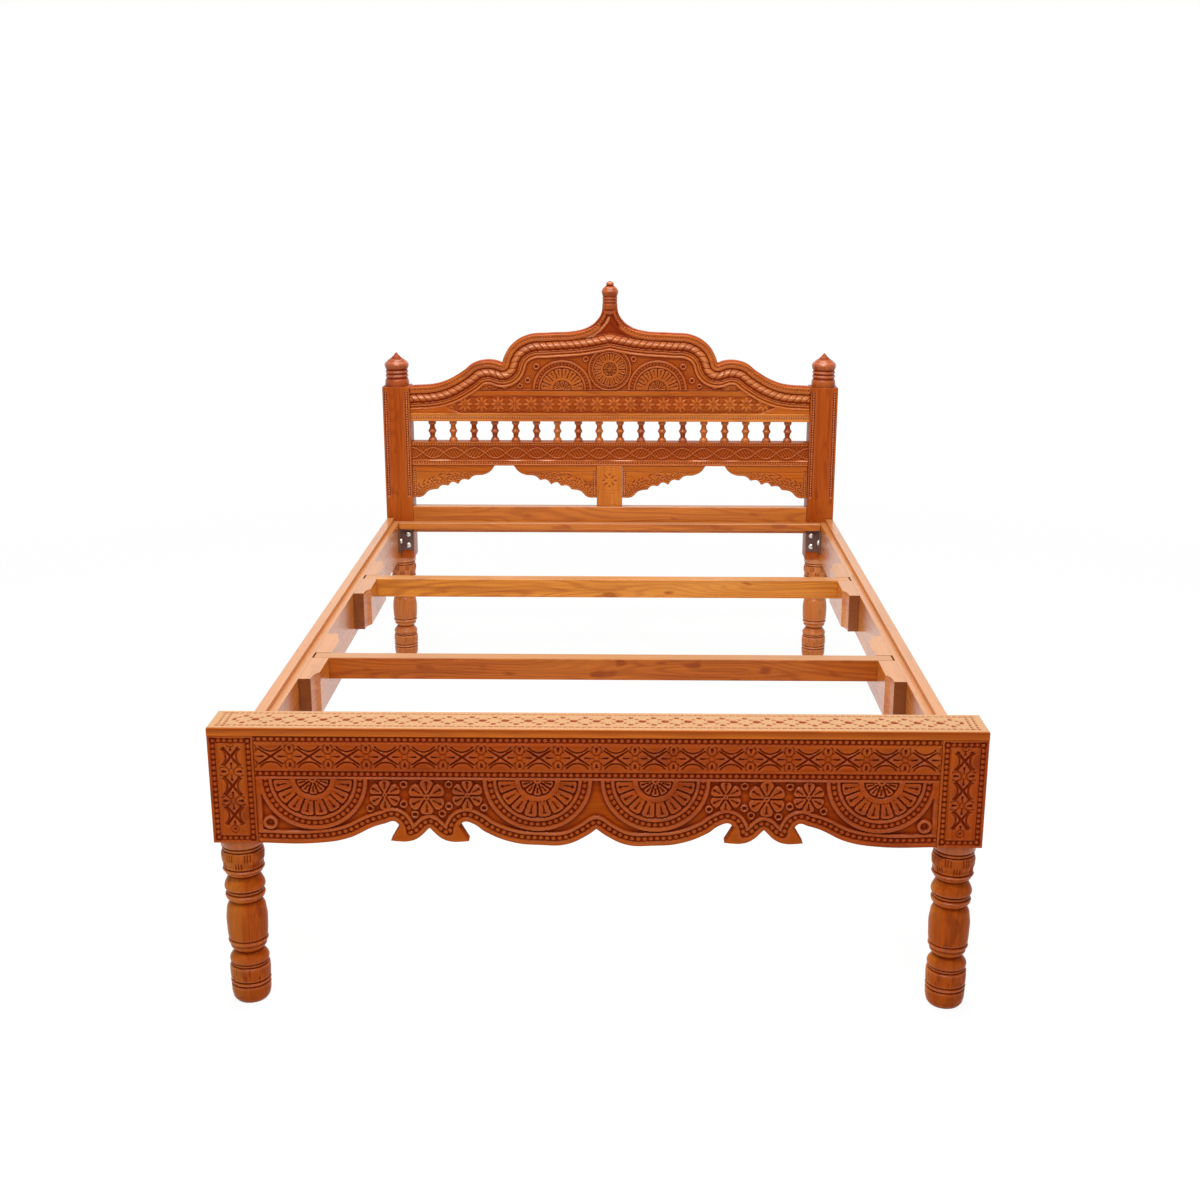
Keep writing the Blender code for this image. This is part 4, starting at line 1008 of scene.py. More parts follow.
def foot_rail_relief(border):
    """Depth of the foot rail: bead rows, flower chain, fans and rosettes in a sunk field, beaded edge."""
    bead_path = evenly_spaced(inset_path(border, EDGE_BEADS), EDGE_BEAD_STEP)

    def relief(points):
        across, up = points.T
        away = np.abs(across)
        half = away.max()
        one_side = np.stack([away, up], axis=1)
        edge, _ = follow(points, border, EDGE_SEARCH)
        off_bead, along_bead = follow(points, bead_path, BEAD_SEARCH)

        fans = [half_fan(one_side, (fan, FOOT_FILLET), FAN_RADIUS, -1) for fan in FOOT_FANS]
        motifs = [share for share, _ in fans]
        motifs += [rosette(one_side, (x, z), radius) for x, z, radius in ROSETTES]
        motifs += [small_ring(one_side, (x, z), RING_RADIUS) for x, z in SMALL_RINGS]
        motifs.append(small_ring(one_side, CORNER_RING[:2], CORNER_RING[2]))
        sunk = eased(FOOT_FILLET - up, 0.0, FILLET_EASE) * eased(edge, EDGE_FIELD - SOFT, EDGE_FIELD + SOFT)
        sunk = sunk * eased(half - away, FOOT_END_STRIP - SOFT, FOOT_END_STRIP + SOFT)
        field = GROUND * np.minimum.reduce(motifs) * sunk

        rows = [bead_row(across, up - level) for level in (FOOT_BEADS_TOP, FOOT_BEADS_LOW)]
        rows.append(bead_row(along_bead, off_bead))
        from_chain = across - CHAIN_PHASE + CHAIN_PITCH / 2
        chain, chain_stain = chain_cell(from_chain, up - CHAIN_MIDDLE, CHAIN_PITCH / 2, CHAIN_HALF_HEIGHT)
        in_chain = np.abs(up - CHAIN_MIDDLE) < CHAIN_HALF_HEIGHT
        stain = np.maximum.reduce([*(tint for _, tint in fans), bead_tint(*rows), chain_stain * in_chain])
        return np.maximum.reduce([field, *rows, chain * in_chain]), stain

    return relief


def make_foot_rail(finish):
    """The carved foot rail."""
    low, high = node_box("foot_rail")
    half = half_between_posts()
    top = [(half, high[2], True), (-half, high[2], True)]
    border = open_run(foot_edge_knots(low[2], half, FOOT_BORDER_DROP), top)
    knots = [*foot_edge_knots(low[2], half, FOOT_EDGE_DROP), *top]
    mesh = outlined_board(
        "carved_foot_rail", knots, FOOT_CELL, high[1] - low[1], facing_foot(low[1]), foot_rail_relief(border)
    )
    add_piece(mesh, finish, "carved_teak", "foot_rail")


def cap_relief(low, high):
    """Depth of the cap's top: dashed lines along its sides and across its ends, and rows of dots."""
    middle = (low[1] + high[1]) / 2

    def relief(points):
        across, along = points.T
        off = np.abs(along - middle)
        from_side = np.minimum(along - low[1], high[1] - along)
        from_end = np.minimum(across - low[0], high[0] - across)
        dashes = stripe(fold(across, CAP_DASH_PITCH), *CAP_DASH)
        dashes = dashes * stripe(from_side - CAP_SIDE_LINE, CAP_SIDE_HALF) * (from_end > CAP_DASH_END)
        end_dashes = stripe(fold(along - middle, CAP_DASH_PITCH), *CAP_DASH)
        end_dashes = end_dashes * lines_at(from_end, CAP_END_LINES, CAP_END_HALF) * (from_side > CAP_LINE_END)
        dots = np.maximum.reduce([
            share * stripe(np.hypot(fold(across - start, pitch), off - level), radius, soft)
            for pitch, start, level, radius, soft, share in CAP_DOTS
        ])
        cuts = np.maximum.reduce([dashes, end_dashes, dots * (from_end > CAP_DOTS_END)])
        edge = np.minimum(from_side, from_end)
        return np.maximum(CAP_CUT * cuts, round_arris(edge, CAP_ARRIS)), cuts

    return relief


def make_foot_cap(finish):
    """The cap board over the foot rail."""
    low, high = node_box("foot_cap")
    mesh = squared_board(
        "carved_foot_cap", low, high, RAIL_CELL, high[2] - low[2], facing_up(high[2]), cap_relief(low, high)
    )
    add_piece(mesh, finish, "carved_teak", "foot_cap")


def foot_block_relief(low, high):
    """Depth of a foot post's face: a frame of beads round a chain of two flowers, a ring above and below."""
    middle = (low + high) / 2

    def relief(points):
        across, up = points.T
        off_x = np.abs(across - middle[0])
        off_z = np.abs(up - middle[2])
        half_x = (high[0] - low[0]) / 2 - BLOCK_INSET
        half_z = (high[2] - low[2]) / 2 - BLOCK_INSET
        uprights = bead_row(up - middle[2], off_x - half_x, *BLOCK_BEADS)
        uprights = uprights * (off_z < half_z + BLOCK_BEAD_END)
        levels = bead_row(across - middle[0], off_z - half_z, *BLOCK_BEADS)
        levels = levels * (off_x < half_x + BLOCK_BEAD_END)
        sides = stripe(off_x - BLOCK_LINE[0], BLOCK_LINE_HALF) * (off_z < BLOCK_LINE_END)
        ends = stripe(off_z - BLOCK_LINE[1], BLOCK_LINE_HALF) * (off_x < BLOCK_LINE[0])
        from_chain = up - BLOCK_CHAIN_MIDDLE
        chain, chain_stain = chain_cell(from_chain + BLOCK_CHAIN[0], across - middle[0], *BLOCK_CHAIN)
        panel = eased(BLOCK_PANEL[0] - off_x, -SOFT, SOFT) * eased(BLOCK_PANEL[1] - off_z, -SOFT, SOFT)
        panel = panel * (np.abs(from_chain) < BLOCK_CHAIN_HALF)
        eyes = [(middle[0], BLOCK_CHAIN_MIDDLE + side * BLOCK_EYES) for side in (-1, 1)]
        rings = np.minimum.reduce([small_ring(points, eye, BLOCK_EYE_RADIUS) for eye in eyes])
        reach = np.minimum.reduce([np.hypot(across - x, up - z) for x, z in eyes])
        rings = BLOCK_EYE_SHARE * CUT * rings * stripe(reach, BLOCK_EYE_REACH)
        stain = np.maximum(bead_tint(uprights, levels), chain_stain * panel)
        cuts = [uprights, levels, BLOCK_LINE_DEPTH * (sides + ends), chain * panel, rings]
        return np.maximum.reduce(cuts), stain

    return relief


def head_shaft_relief(low, high):
    """Depth of a head post's face: a line of small beads down each edge, plain near the rail."""
    middle = (low + high) / 2

    def relief(points):
        across, up = points.T
        carved = eased(up, *SHAFT_START) * eased(SHAFT_STOP - up, -SHAFT_STOP_EASE, SHAFT_STOP_EASE)
        beads = bead_row(up, np.abs(across - middle[0]) - SHAFT_BEAD_LINE, *SHAFT_BEADS) * carved
        # Bead crowns get a painted glint, and the channel between them is darker
        return beads, bead_lights(beads, SHAFT_STAIN)

    return relief


def leg_strokes(turn, height):
    """Incised strokes on the two drums of a leg: groups of three short lines, hung and stood in turn."""
    step = 2 * math.pi / STROKE_GROUPS
    groups = [fold(turn + math.pi / 2 + start, step) for start in (0.0, step / 2)]
    nearest = [np.minimum.reduce([np.abs(group - offset) for offset in STROKE_OFFSETS]) for group in groups]
    stood, hung = (stripe(distance, *STROKE) for distance in nearest)
    stood = stood * eased(STOOD_STROKES[1] - height, 0.0, STROKE_EASE) * (height > STOOD_STROKES[0])
    hung = hung * eased(height - HUNG_STROKES[0], 0.0, STROKE_EASE) * (height < HUNG_STROKES[1])
    low_step = 2 * math.pi / LOW_STROKE_COUNT
    single = [
        stripe(fold(turn + start, low_step), *LOW_STROKE) * (height > low) * (height < high)
        for start, low, high in LOW_STROKES
    ]
    return STROKE_DEPTH * np.maximum.reduce([stood, hung, LOW_STROKE_SHARE * sum(single)])


def make_posts(finishes):
    """Foot and head posts: carved square blocks or shafts over turned legs, with finials at the head."""
    for end, (block_finish, leg_finish) in finishes.items():
        for word in SIDES:
            node = end + "_post_" + word
            low, high = node_box(node)
            centre = ((low[0] + high[0]) / 2, (low[1] + high[1]) / 2)
            half = (high[0] - low[0]) / 2
            block_low = np.array([low[0], low[1], BLOCK_FOOT])
            block_high = high.copy()
            if end == "head":
                block_high[2] = high[2] - POST_FINIAL_TURNING[0][0]
                relief = head_shaft_relief(block_low, block_high)
            else:
                relief = foot_block_relief(block_low, block_high)
            label = {"foot": "carved_foot_block_", "head": "beaded_head_shaft_"}[end] + word
            place = facing_foot(low[1])
            block = squared_board(
                label, block_low[[0, 2]], block_high[[0, 2]], FACE_CELL, 2 * half, place, relief
            )
            add_piece(block, block_finish, "carved_teak", node)
            heights, radii = turned_profile(LEG_TURNING, half, POST_STEP)
            heights = np.concatenate([[BLOCK_FOOT, BLOCK_FOOT - LEG_TOP_RING], heights])
            radii = np.concatenate([radii[:1], radii[:1], radii])
            leg = turned_solid(
                "turned_" + end + "_leg_" + word, heights, radii, LEG_SIDES, standing(*centre), leg_strokes,
                polish=LEG_POLISH, span=LEG_SPAN,
            )
            add_piece(leg, leg_finish, "carved_teak", node)
            if end == "head":
                heights, radii = turned_profile(POST_FINIAL_TURNING, half, POST_STEP)
                place = standing(*centre, block_high[2])
                finial = turned_solid("turned_post_finial_" + word, heights, radii, FINIAL_SIDES, place)
                add_piece(finial, TEAK["spindle_teak_deep"], "carved_teak", node)


def star_share(across, up):
    """Depth shares of the star band: eight roof-shaped petals round each middle, chip cuts and slots."""
    along = fold(across - STAR_PHASE, STAR_PITCH)
    reach = np.hypot(along, up)
    turn = fold(np.arctan2(up, along), 2 * math.pi / STAR_PETALS)
    share = np.clip((reach * np.cos(turn) - STAR_CORE) / (STAR_RADIUS - STAR_CORE), 0.0, 1.0)
    side = np.abs(reach * np.sin(turn))
    roof = STAR_PETAL * np.sin(math.pi * share ** STAR_SHAPE) - side
    sloped = np.clip(roof / STAR_PETAL, 0.0, 1.0)
    petal = STAR_STEP * eased(roof, *STAR_STEP_EDGE) + (1.0 - STAR_STEP) * sloped
    stars = np.where(reach < STAR_CORE, STAR_EYE_SHARE * stripe(reach, STAR_EYE), 1.0 - petal)
    slanted = [stripe(fold(along + sign * up, CHIP_PITCH), CHIP_HALF, CHIP_HALF) for sign in (-1, 1)]
    chips = CHIP_TOP + (1.0 - CHIP_TOP) * np.maximum(*slanted)
    stars = np.where(stars > CHIP_GROUND, chips, stars)
    between = fold(along + STAR_PITCH / 2, STAR_PITCH)
    slots = stripe(between, *SLOT_SIZE) * stripe(np.abs(up) - SLOT_LEVEL, SLOT_HALF)
    return stars, slots


def crest_border(points, edge, skyline, rope):
    """Depth and stain of the crest's border: round beaded rim, hollow with a leaf line and twisted rope, with
    painted glints on the strands and on the left leaf line, and painted shade on the rope's lower half.

    The rope's section is part half-round and part roof. Each strand across it falls off as sqrt(1 - t^4).
    """
    rim, along_rim = follow(points, skyline, RIM_SEARCH)
    _, along = follow(points, rope, ROPE_SEARCH)
    slope = edge - ROPE_INSET
    rim_half = RIM_HALF - POINT_RIM_LOSS * eased(-edge, *POINT_EASE)
    hollow = eased(rim, RIM_MIDDLE + rim_half, RIM_MIDDLE + rim_half + HOLLOW_EASE)
    hollow = hollow * eased(ROPE_INSET - ROPE_HALF - edge, 0.0, HOLLOW_EASE)
    leaf = stripe(rim - LEAF_LINE, *LEAF)
    depth = CREST_BASE + (HOLLOW_DROP - CREST_BASE) * hollow * (1.0 - LEAF_RISE * leaf)
    round_share = np.clip(np.abs(rim - RIM_MIDDLE) / rim_half, 0.0, 1.0)
    rim_depth = RIM_DROP * (1.0 - np.sqrt(1.0 - round_share ** 2))
    depth = np.where(round_share < 1.0, rim_depth + bead_row(along_rim, rim - RIM_MIDDLE, *RIM_BEADS), depth)

    reach = np.clip(np.abs(slope) / ROPE_HALF, 0.0, 1.0)
    swell = ROPE_ROUND * np.sqrt(1.0 - reach ** 2) + (1.0 - ROPE_ROUND) * (1.0 - reach)
    curl = ROPE_CURL[0] * np.sin(slope / ROPE_HALF * ROPE_CURL[1])
    middle = np.hypot(*np.diff(rope, axis=0).T).sum() / 2
    lay = fold(np.abs(along - middle) + ROPE_SLANT * slope + curl, ROPE_PITCH)
    strand = np.sqrt(np.clip(1.0 - (lay / (STRAND_HALF * ROPE_PITCH)) ** STRAND_POWER, 0.0, 1.0))
    rope_depth = ROPE_DROP * (1.0 - swell * (1.0 - STRAND_SHARE + STRAND_SHARE * strand))
    on_rope = (np.abs(slope) < ROPE_HALF) & (round_share >= 1.0)
    # Painted shade that darkens the rope's lower half
    underside = UNDERSIDE_PAINTED_SHADE * eased(slope / ROPE_HALF, *ROPE_UNDERSIDE)
    stain = np.maximum(HOLLOW_STAIN * hollow, POINT_STAIN * eased(-edge, *POINT_STAIN_EASE))
    # The strands' upper crests get a painted glint, the lower half a painted shade
    stain = np.where(on_rope, ROPE_STAIN - ROPE_POLISH_AND_GLINT * strand * swell + underside, stain)
    # A painted glint on the leaf line, on the left side only, where the light catches it
    stain = np.where((leaf * hollow > LEAF_CROWN) & (points[:, 0] < 0.0), CROWN_GLINT, stain)
    return np.where(on_rope, rope_depth, depth), stain


def crest_field(points, sunk):
    """Depth, stain and punch marks of the crest's field: half fans, a wheel and rings on a punched ground."""
    across, up = points.T
    one_side = np.stack([np.abs(across), up], axis=1)
    fans = [half_fan(one_side, (middle, CREST_LINE), radius, 1) for middle, radius in CREST_FANS]
    fans.append(wheel(points, MEDALLION[:2], MEDALLION[2]))
    motifs = [share for share, _ in fans]
    motifs += [small_ring(one_side, (x, z), radius) for x, z, radius in CREST_RINGS]
    share = np.minimum.reduce(motifs)
    row = np.floor(up / PUNCH_PITCH)
    off_spot = fold(across + row * PUNCH_PITCH / 2, PUNCH_PITCH)
    spot = np.hypot(off_spot, fold(up - PUNCH_PITCH / 2, PUNCH_PITCH))
    punched = stripe(spot, PUNCH_HALF, PUNCH_HALF) * (share > PUNCH_GROUND) * (sunk > PUNCH_GROUND)
    stain = FIELD_STAIN + np.maximum.reduce([tint for _, tint in fans])
    stain = np.maximum(stain, (FIELD_STAIN + PUNCH_STAIN) * punched)
    return CREST_FACE + CREST_GROUND * share * sunk, stain, PUNCH_DEPTH * punched


def crest_relief(border, skyline, baseline):
    """Depth of the crest: its border, two grooves, then fans and a wheel over a band of stars."""
    rope = evenly_spaced(inset_path(border, ROPE_INSET), ROPE_STEP)
    below = np.concatenate([border, [(border[-1, 0], -1.0), (border[0, 0], -1.0)]])

    def relief(points):
        across, up = points.T
        edge, _ = follow(points, border, CREST_SEARCH)
        edge = np.where(inside(points, below), edge, -edge)
        depth, stain = crest_border(points, edge, skyline, rope)
        depth = depth + BORDER_GROOVE_DEPTH * lines_at(edge, BORDER_GROOVES, BORDER_GROOVE_HALF)

        sunk = eased(edge, INNER_FILLET + FIELD_EDGE[0], INNER_FILLET + FIELD_EDGE[1])
        sunk = sunk * eased(up, CREST_LINE, CREST_LINE + FIELD_EASE)
        field, field_stain, punched = crest_field(points, sunk)
        depth = np.where(sunk > 0.0, field, depth) + punched
        stain = np.where(sunk > 0.0, np.maximum(field_stain, stain), stain)

        stars, slots = star_share(across, up - (STAR_BAND[0] + STAR_BAND[1]) / 2)
        in_band = (up < STAR_BAND[1]) & (edge > INNER_FILLET + BAND_MARGIN)
        depth = np.where(in_band, CREST_FACE + STAR_DEPTH * np.maximum(stars, slots), depth)
        # Star crowns get a painted glint; the chip cuts between them are darker
        star_stain = np.where(stars < STAR_CROWN, CROWN_GLINT, CHIP_CUT_STAIN - CHIP_CONTRAST * (1.0 - stars))
        stain = np.where(in_band, np.maximum(star_stain, SLOT_STAIN * slots), stain)
        lines = lines_at(up, BAND_LINES, BAND_LINE_HALF)
        depth = depth + BAND_LINE_DEPTH * lines * (edge > INNER_FILLET)
        depth = depth * (1.0 - FILLET_RISE * stripe(edge - INNER_FILLET, FILLET_HALF))
        wedge = (edge > INNER_FILLET + WEDGE_MARGIN) & (up < baseline + WEDGE_HEIGHT)
        wedge = wedge & (np.abs(across) > WEDGE_END + WEDGE_SLANT * (up - STAR_BAND[0]))
        return np.where(wedge, CREST_FACE, depth), np.where(wedge, 0.0, stain)

    return relief


def make_crest(finish):
    """The arched crest panel and its finial."""
    low, high = node_box("crest_panel")
    half = half_between_posts()
    shoulder = high[2] - CREST_RISE
    right, border_right = (
        [(share * half, shoulder + lift * CREST_RISE, corner) for share, lift, corner in knots]
        for knots in (CREST_EDGE, CREST_BORDER)
    )
    closing = [(-half, low[2], True), (half, low[2], True)]
    border = open_run([*border_right, *mirrored(border_right[:-1])], closing)
    skyline = open_run([*right, *mirrored(right)], closing)
    mesh = outlined_board(
        "carved_crest", [closing[1], *right, *mirrored(right), closing[0]], CREST_CELL, high[1] - low[1],
        facing_foot(low[1]), crest_relief(border, skyline, low[2]),
    )
    add_piece(mesh, finish, "carved_teak", "crest_panel")
    finial_low, finial_high = node_box("crest_finial")
    heights, radii = turned_profile(CREST_FINIAL_TURNING, FINIAL_RADIUS, FINIAL_STEP)
    place = standing(*((finial_low + finial_high) / 2)[:2], high[2])
    finial = turned_solid("turned_crest_finial", heights, radii, FINIAL_SIDES, place)
    add_piece(finial, TEAK["spindle_teak_deep"], "carved_teak", "crest_finial")


def mid_rail_relief(low, high):
    """Depth of the mid rail: crossing waves and leaf strokes in a sunk panel over a bevelled ledge."""
    ledge = high[2] - MID_LEDGE
    top = high[2] - MID_PANEL_TOP

    def relief(points):
        across, up = points.T
        rows = [bead_row(across, up - high[2] + level, *MID_BEADS) for level in MID_BEAD_ROWS]
        sunk = eased(up - ledge, *MID_LEDGE_EASE) * eased(top - up, 0.0, MID_PANEL_EASE)
        swing = np.sin(math.pi * across / HALF_WAVE)
        off = up - (ledge + top) / 2
        ridges = np.maximum.reduce([stripe(off + side * WAVE_SWING * swing, *WAVE_RIDGE) for side in (-1, 1)])
        slanted = across + LEAF_STROKE_SLANT * off * np.sign(swing)
        strokes = stripe(fold(slanted, LEAF_STROKE_PITCH), *LEAF_STROKE)
        strokes = strokes * stripe(off, *LEAF_STROKE_FIELD) * (1.0 - ridges)
        panel = MID_PANEL_DEPTH * (1.0 - RIDGE_RISE * ridges) + LEAF_STROKE_DEPTH * strokes
        panel_stain = MID_PANEL_STAIN - RIDGE_PALER * ridges + STROKE_DARKER * strokes
        stain = np.where(sunk > 0.0, panel_stain, MID_STAIN)
        # Painted glints in patches along the ledge's bevel
        bevel = stripe(up - ledge + BEVEL_LINE, *BEVEL)
        patches = np.sin(across * GLINT_WAVES[0]) * np.sin(across * GLINT_WAVES[1] + GLINT_WAVES[2])
        glints = BEVEL_GLINT * bevel * np.clip(GLINT_GAIN * patches, 0.0, 1.0)
        stain = np.where(bevel > BEVEL_SHARE, MID_STAIN - glints, stain)
        lit = [np.where(row > 0.0, bead_lights(row, MID_BEAD_STAIN) + MID_BEAD_TINT, -1.0) for row in rows]
        beaded = np.clip(np.maximum.reduce(lit), -1.0, MID_BEAD_LIMIT)
        stain = np.where(np.any([row > 0.0 for row in rows], axis=0), beaded, stain)
        return np.maximum.reduce([*rows, panel * sunk]), stain

    return relief


def gallery_relief(low, high):
    """Depth of the gallery rail's face: a fine row of beads between two lines."""
    def relief(points):
        across, up = points.T
        rise = up - low[2]
        beads = bead_row(across, rise - GALLERY_BEAD_LINE, *GALLERY_BEADS)
        lines = lines_at(rise, GALLERY_LINES, GALLERY_LINE_HALF)
        return np.maximum(beads, GALLERY_LINE_DEPTH * lines), bead_lights(beads, GALLERY_STAIN)

    return relief


def stile_relief(low, high):
    """Depth of the stile: a double frame round eight drops, long ones on the diagonals, and plain below."""
    middle = np.array([(low[0] + high[0]) / 2, high[2] - STILE_MIDDLE])

    def relief(points):
        across, up = (points - middle).T
        square = np.maximum(np.abs(across), np.abs(up) - STILE_STRETCH)
        frames = lines_at(square, STILE_FRAMES, STILE_FRAME_HALF)
        reach = np.hypot(across, up)
        angle = np.arctan2(up, across)
        drops = np.maximum.reduce([
            stripe(reach * np.sin(fold(angle - turn, math.pi / 2)), *width) * stripe(reach - place, *length)
            for turn, width, place, length in STILE_DROPS
        ])
        return np.maximum(STILE_FRAME_DEPTH * frames, STILE_DROP_DEPTH * drops), STILE_DROP_STAIN * drops

    return relief


def spandrel_relief(edge_path, upright_x, top):
    """Depth of a spandrel: beads by the upright, a line under the rail, gouge cuts along the lower edge."""
    def relief(points):
        across, up = points.T
        beside = np.abs(across - upright_x)
        under = top - up
        edge, along = follow(points, edge_path, SPANDREL_SEARCH)
        beads = bead_row(up, beside - SPANDREL_BEAD_LINE, *SPANDREL_BEADS)
        beads = beads * (edge > SPANDREL_BEAD_EDGE) * (under > SPANDREL_BEAD_TOP)
        line = stripe(under - SPANDREL_LINE, SPANDREL_LINE_HALF)
        line = line * (beside > SPANDREL_FIELD_SIDE) * (edge > SPANDREL_LINE_EDGE)
        cuts = np.maximum.reduce([
            stripe(fold(along + slant * edge, pitch), half) * stripe(edge - level, *GOUGE)
            for slant, pitch, half, level in GOUGE_ROWS
        ])
        cuts = cuts * (under > SPANDREL_FIELD_TOP) * (beside > SPANDREL_FIELD_SIDE)
        stain = np.maximum(GOUGE_STAIN * cuts, SPANDREL_LINE_STAIN * line)
        stain = np.where(beads > 0.0, bead_lights(beads, SPANDREL_STAIN), stain)
        return np.maximum.reduce([beads, SPANDREL_LINE_DEPTH * line, GOUGE_DEPTH * cuts]), stain

    return relief


def make_headboard_members():
    """Mid rail, gallery rail, stile and the four spandrels."""
    half = half_between_posts()
    for name, node, make_relief, slot, look in (
        ("carved_mid_rail", "mid_rail", mid_rail_relief, "carved_teak", "carved_teak_rail"),
        ("beaded_gallery_rail", "gallery_top_rail", gallery_relief, "plain_teak", "gallery_rail_teak"),
    ):
        low, high = node_box(node)
        mesh = squared_board(
            name, (-half, low[2]), (half, high[2]), RAIL_CELL, high[1] - low[1], facing_foot(low[1]),
            make_relief(low, high),
        )
        add_piece(mesh, TEAK[look], slot, node)
    low, high = node_box("centre_stile")
    low[2] = node_box("lower_head_rail")[1][2]
    high[2] = node_box("mid_rail")[0][2]
    mesh = squared_board(
        "carved_stile", low[[0, 2]], high[[0, 2]], STILE_CELL, high[1] - low[1], facing_foot(low[1]),
        stile_relief(low, high),
    )
    add_piece(mesh, TEAK["stile_teak"], "carved_teak", "centre_stile")
    for word, side in SIDES.items():
        for place, away in (("outer", -side), ("inner", side)):
            node = "spandrel_" + place + "_" + word
            low, high = node_box(node)
            upright = low[0] if away > 0 else high[0]
            edge = [
                (upright + away * share * (high[0] - low[0]), low[2] + rise * (high[2] - low[2]), corner)
                for share, rise, corner in SPANDREL_EDGE
            ]
            corner = [(upright, high[2], True)]
            knots = [*edge, *corner]
            mesh = outlined_board(
                "carved_" + node, knots if away > 0 else knots[::-1], SPANDREL_CELL, high[1] - low[1],
                facing_foot(low[1]), spandrel_relief(open_run(edge, corner), upright, high[2]),
            )
            add_piece(mesh, TEAK["spandrel_teak"], "carved_teak", node)


def make_spindles(finishes):
    """The turned spindles of the gallery, their wood varying from one to the next."""
    names = sorted(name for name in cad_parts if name.startswith("spindle_"))
    foot = node_box("mid_rail")[1][2]
    head = node_box("gallery_top_rail")[0][2]
    shares, radii = turned_profile(SPINDLE_TURNING, SPINDLE_RADIUS, SPINDLE_STEP)
    for count, name in enumerate(names):
        low, high = node_box(name)
        place = standing(*((low + high) / 2)[:2], foot)
        mesh = turned_solid(
            "turned_" + name, shares * (head - foot), radii, SPINDLE_SIDES, place, groove_stain_and_shade=SPINDLE_GROOVE_STAIN_AND_SHADE,
            polish=SPINDLE_POLISH,
        )
        pick = count * SPINDLE_SHUFFLE[0] % SPINDLE_SHUFFLE[1] % len(finishes)
        add_piece(mesh, finishes[pick], "carved_teak", name)


def bolt_place(low, high, outward, along):
    """Place turned points about a bolt's own axis, with the head's top at the bolt's tip."""
    middle = (low + high) / 2
    tip = high[along] if outward > 0 else low[along]

    def place(across, side, rise):
        out = tip + outward * (rise - BOLT_HEAD_HEIGHT)
        if along == 0:
            return np.stack([out, middle[1] + outward * across, middle[2] + side], axis=1)
        return np.stack([middle[0] - outward * across, out, middle[2] + side], axis=1)

    return place


def make_bolts(finish):
    """Round bolt heads on the brackets, facing the inside of the bed."""
    shares = np.array([height for height, _ in BOLT_HEAD_TURNING])
    radii = BOLT_HEAD_RADIUS * (1.0 - np.array([loss for _, loss in BOLT_HEAD_TURNING]))
    for name in sorted(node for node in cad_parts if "_bolt_" in node):
        low, high = node_box(name)
        along = int(np.argmax(high - low))
        outward = 1 if (low + high)[along] < 0 else -1
        place = bolt_place(low, high, outward, along)
        mesh = turned_solid("domed_" + name, shares * BOLT_HEAD_HEIGHT, radii, BOLT_SIDES, place)
        add_piece(mesh, finish, "bolt_zinc", name)


def new_group(name, inputs, outputs):
    """A shader node group with sockets given as label and kind; returns the group and its two ends."""
    group = bpy.data.node_groups.new(name, "ShaderNodeTree")
    for end, sockets in (("INPUT", inputs), ("OUTPUT", outputs)):
        for label, kind in sockets.items():
            group.interface.new_socket(label, in_out=end, socket_type="NodeSocket" + kind)
    return group, group.nodes.new("NodeGroupInput"), group.nodes.new("NodeGroupOutput")


def feed(tree, socket, value):
    """Give a node's input a socket to follow, a number or a colour."""
    if isinstance(value, (int, float)):
        socket.default_value = value
    elif isinstance(value, tuple):
        socket.default_value = (*value, 1.0)
    else:
        tree.links.new(value, socket)


def add_math(tree, operation, first, second):
    """A Math node; each side is a socket or a number."""
    node = tree.nodes.new("ShaderNodeMath")
    node.operation = operation
    feed(tree, node.inputs[0], first)
    feed(tree, node.inputs[1], second)
    return node.outputs[0]


def add_mix(tree, share, first, second):
    """A colour Mix node; each part is a socket, a number or a colour."""
    node = tree.nodes.new("ShaderNodeMix")
    node.data_type = "RGBA"
    for index, value in ((0, share), (6, first), (7, second)):
        feed(tree, node.inputs[index], value)
    return node.outputs[2]


def add_noise(tree, coords, stretch, detail, roughness=0.5):
    """Noise on stretched coordinates, as a value."""
    scale = tree.nodes.new("ShaderNodeMapping")
    scale.inputs["Scale"].default_value = stretch
    tree.links.new(coords, scale.inputs["Vector"])
    noise = tree.nodes.new("ShaderNodeTexNoise")
    noise.inputs["Scale"].default_value = 1.0
    noise.inputs["Detail"].default_value = detail
    noise.inputs["Roughness"].default_value = roughness
    tree.links.new(scale.outputs[0], noise.inputs["Vector"])
    return noise.outputs["Fac"]


def add_range(tree, value, low, high, new_low=0.0, new_high=1.0):
    """A value's range moved to another, held at both ends."""
    node = tree.nodes.new("ShaderNodeMapRange")
    tree.links.new(value, node.inputs["Value"])
    for label, number in (("From Min", low), ("From Max", high), ("To Min", new_low), ("To Max", new_high)):
        node.inputs[label].default_value = number
    return node.outputs["Result"]


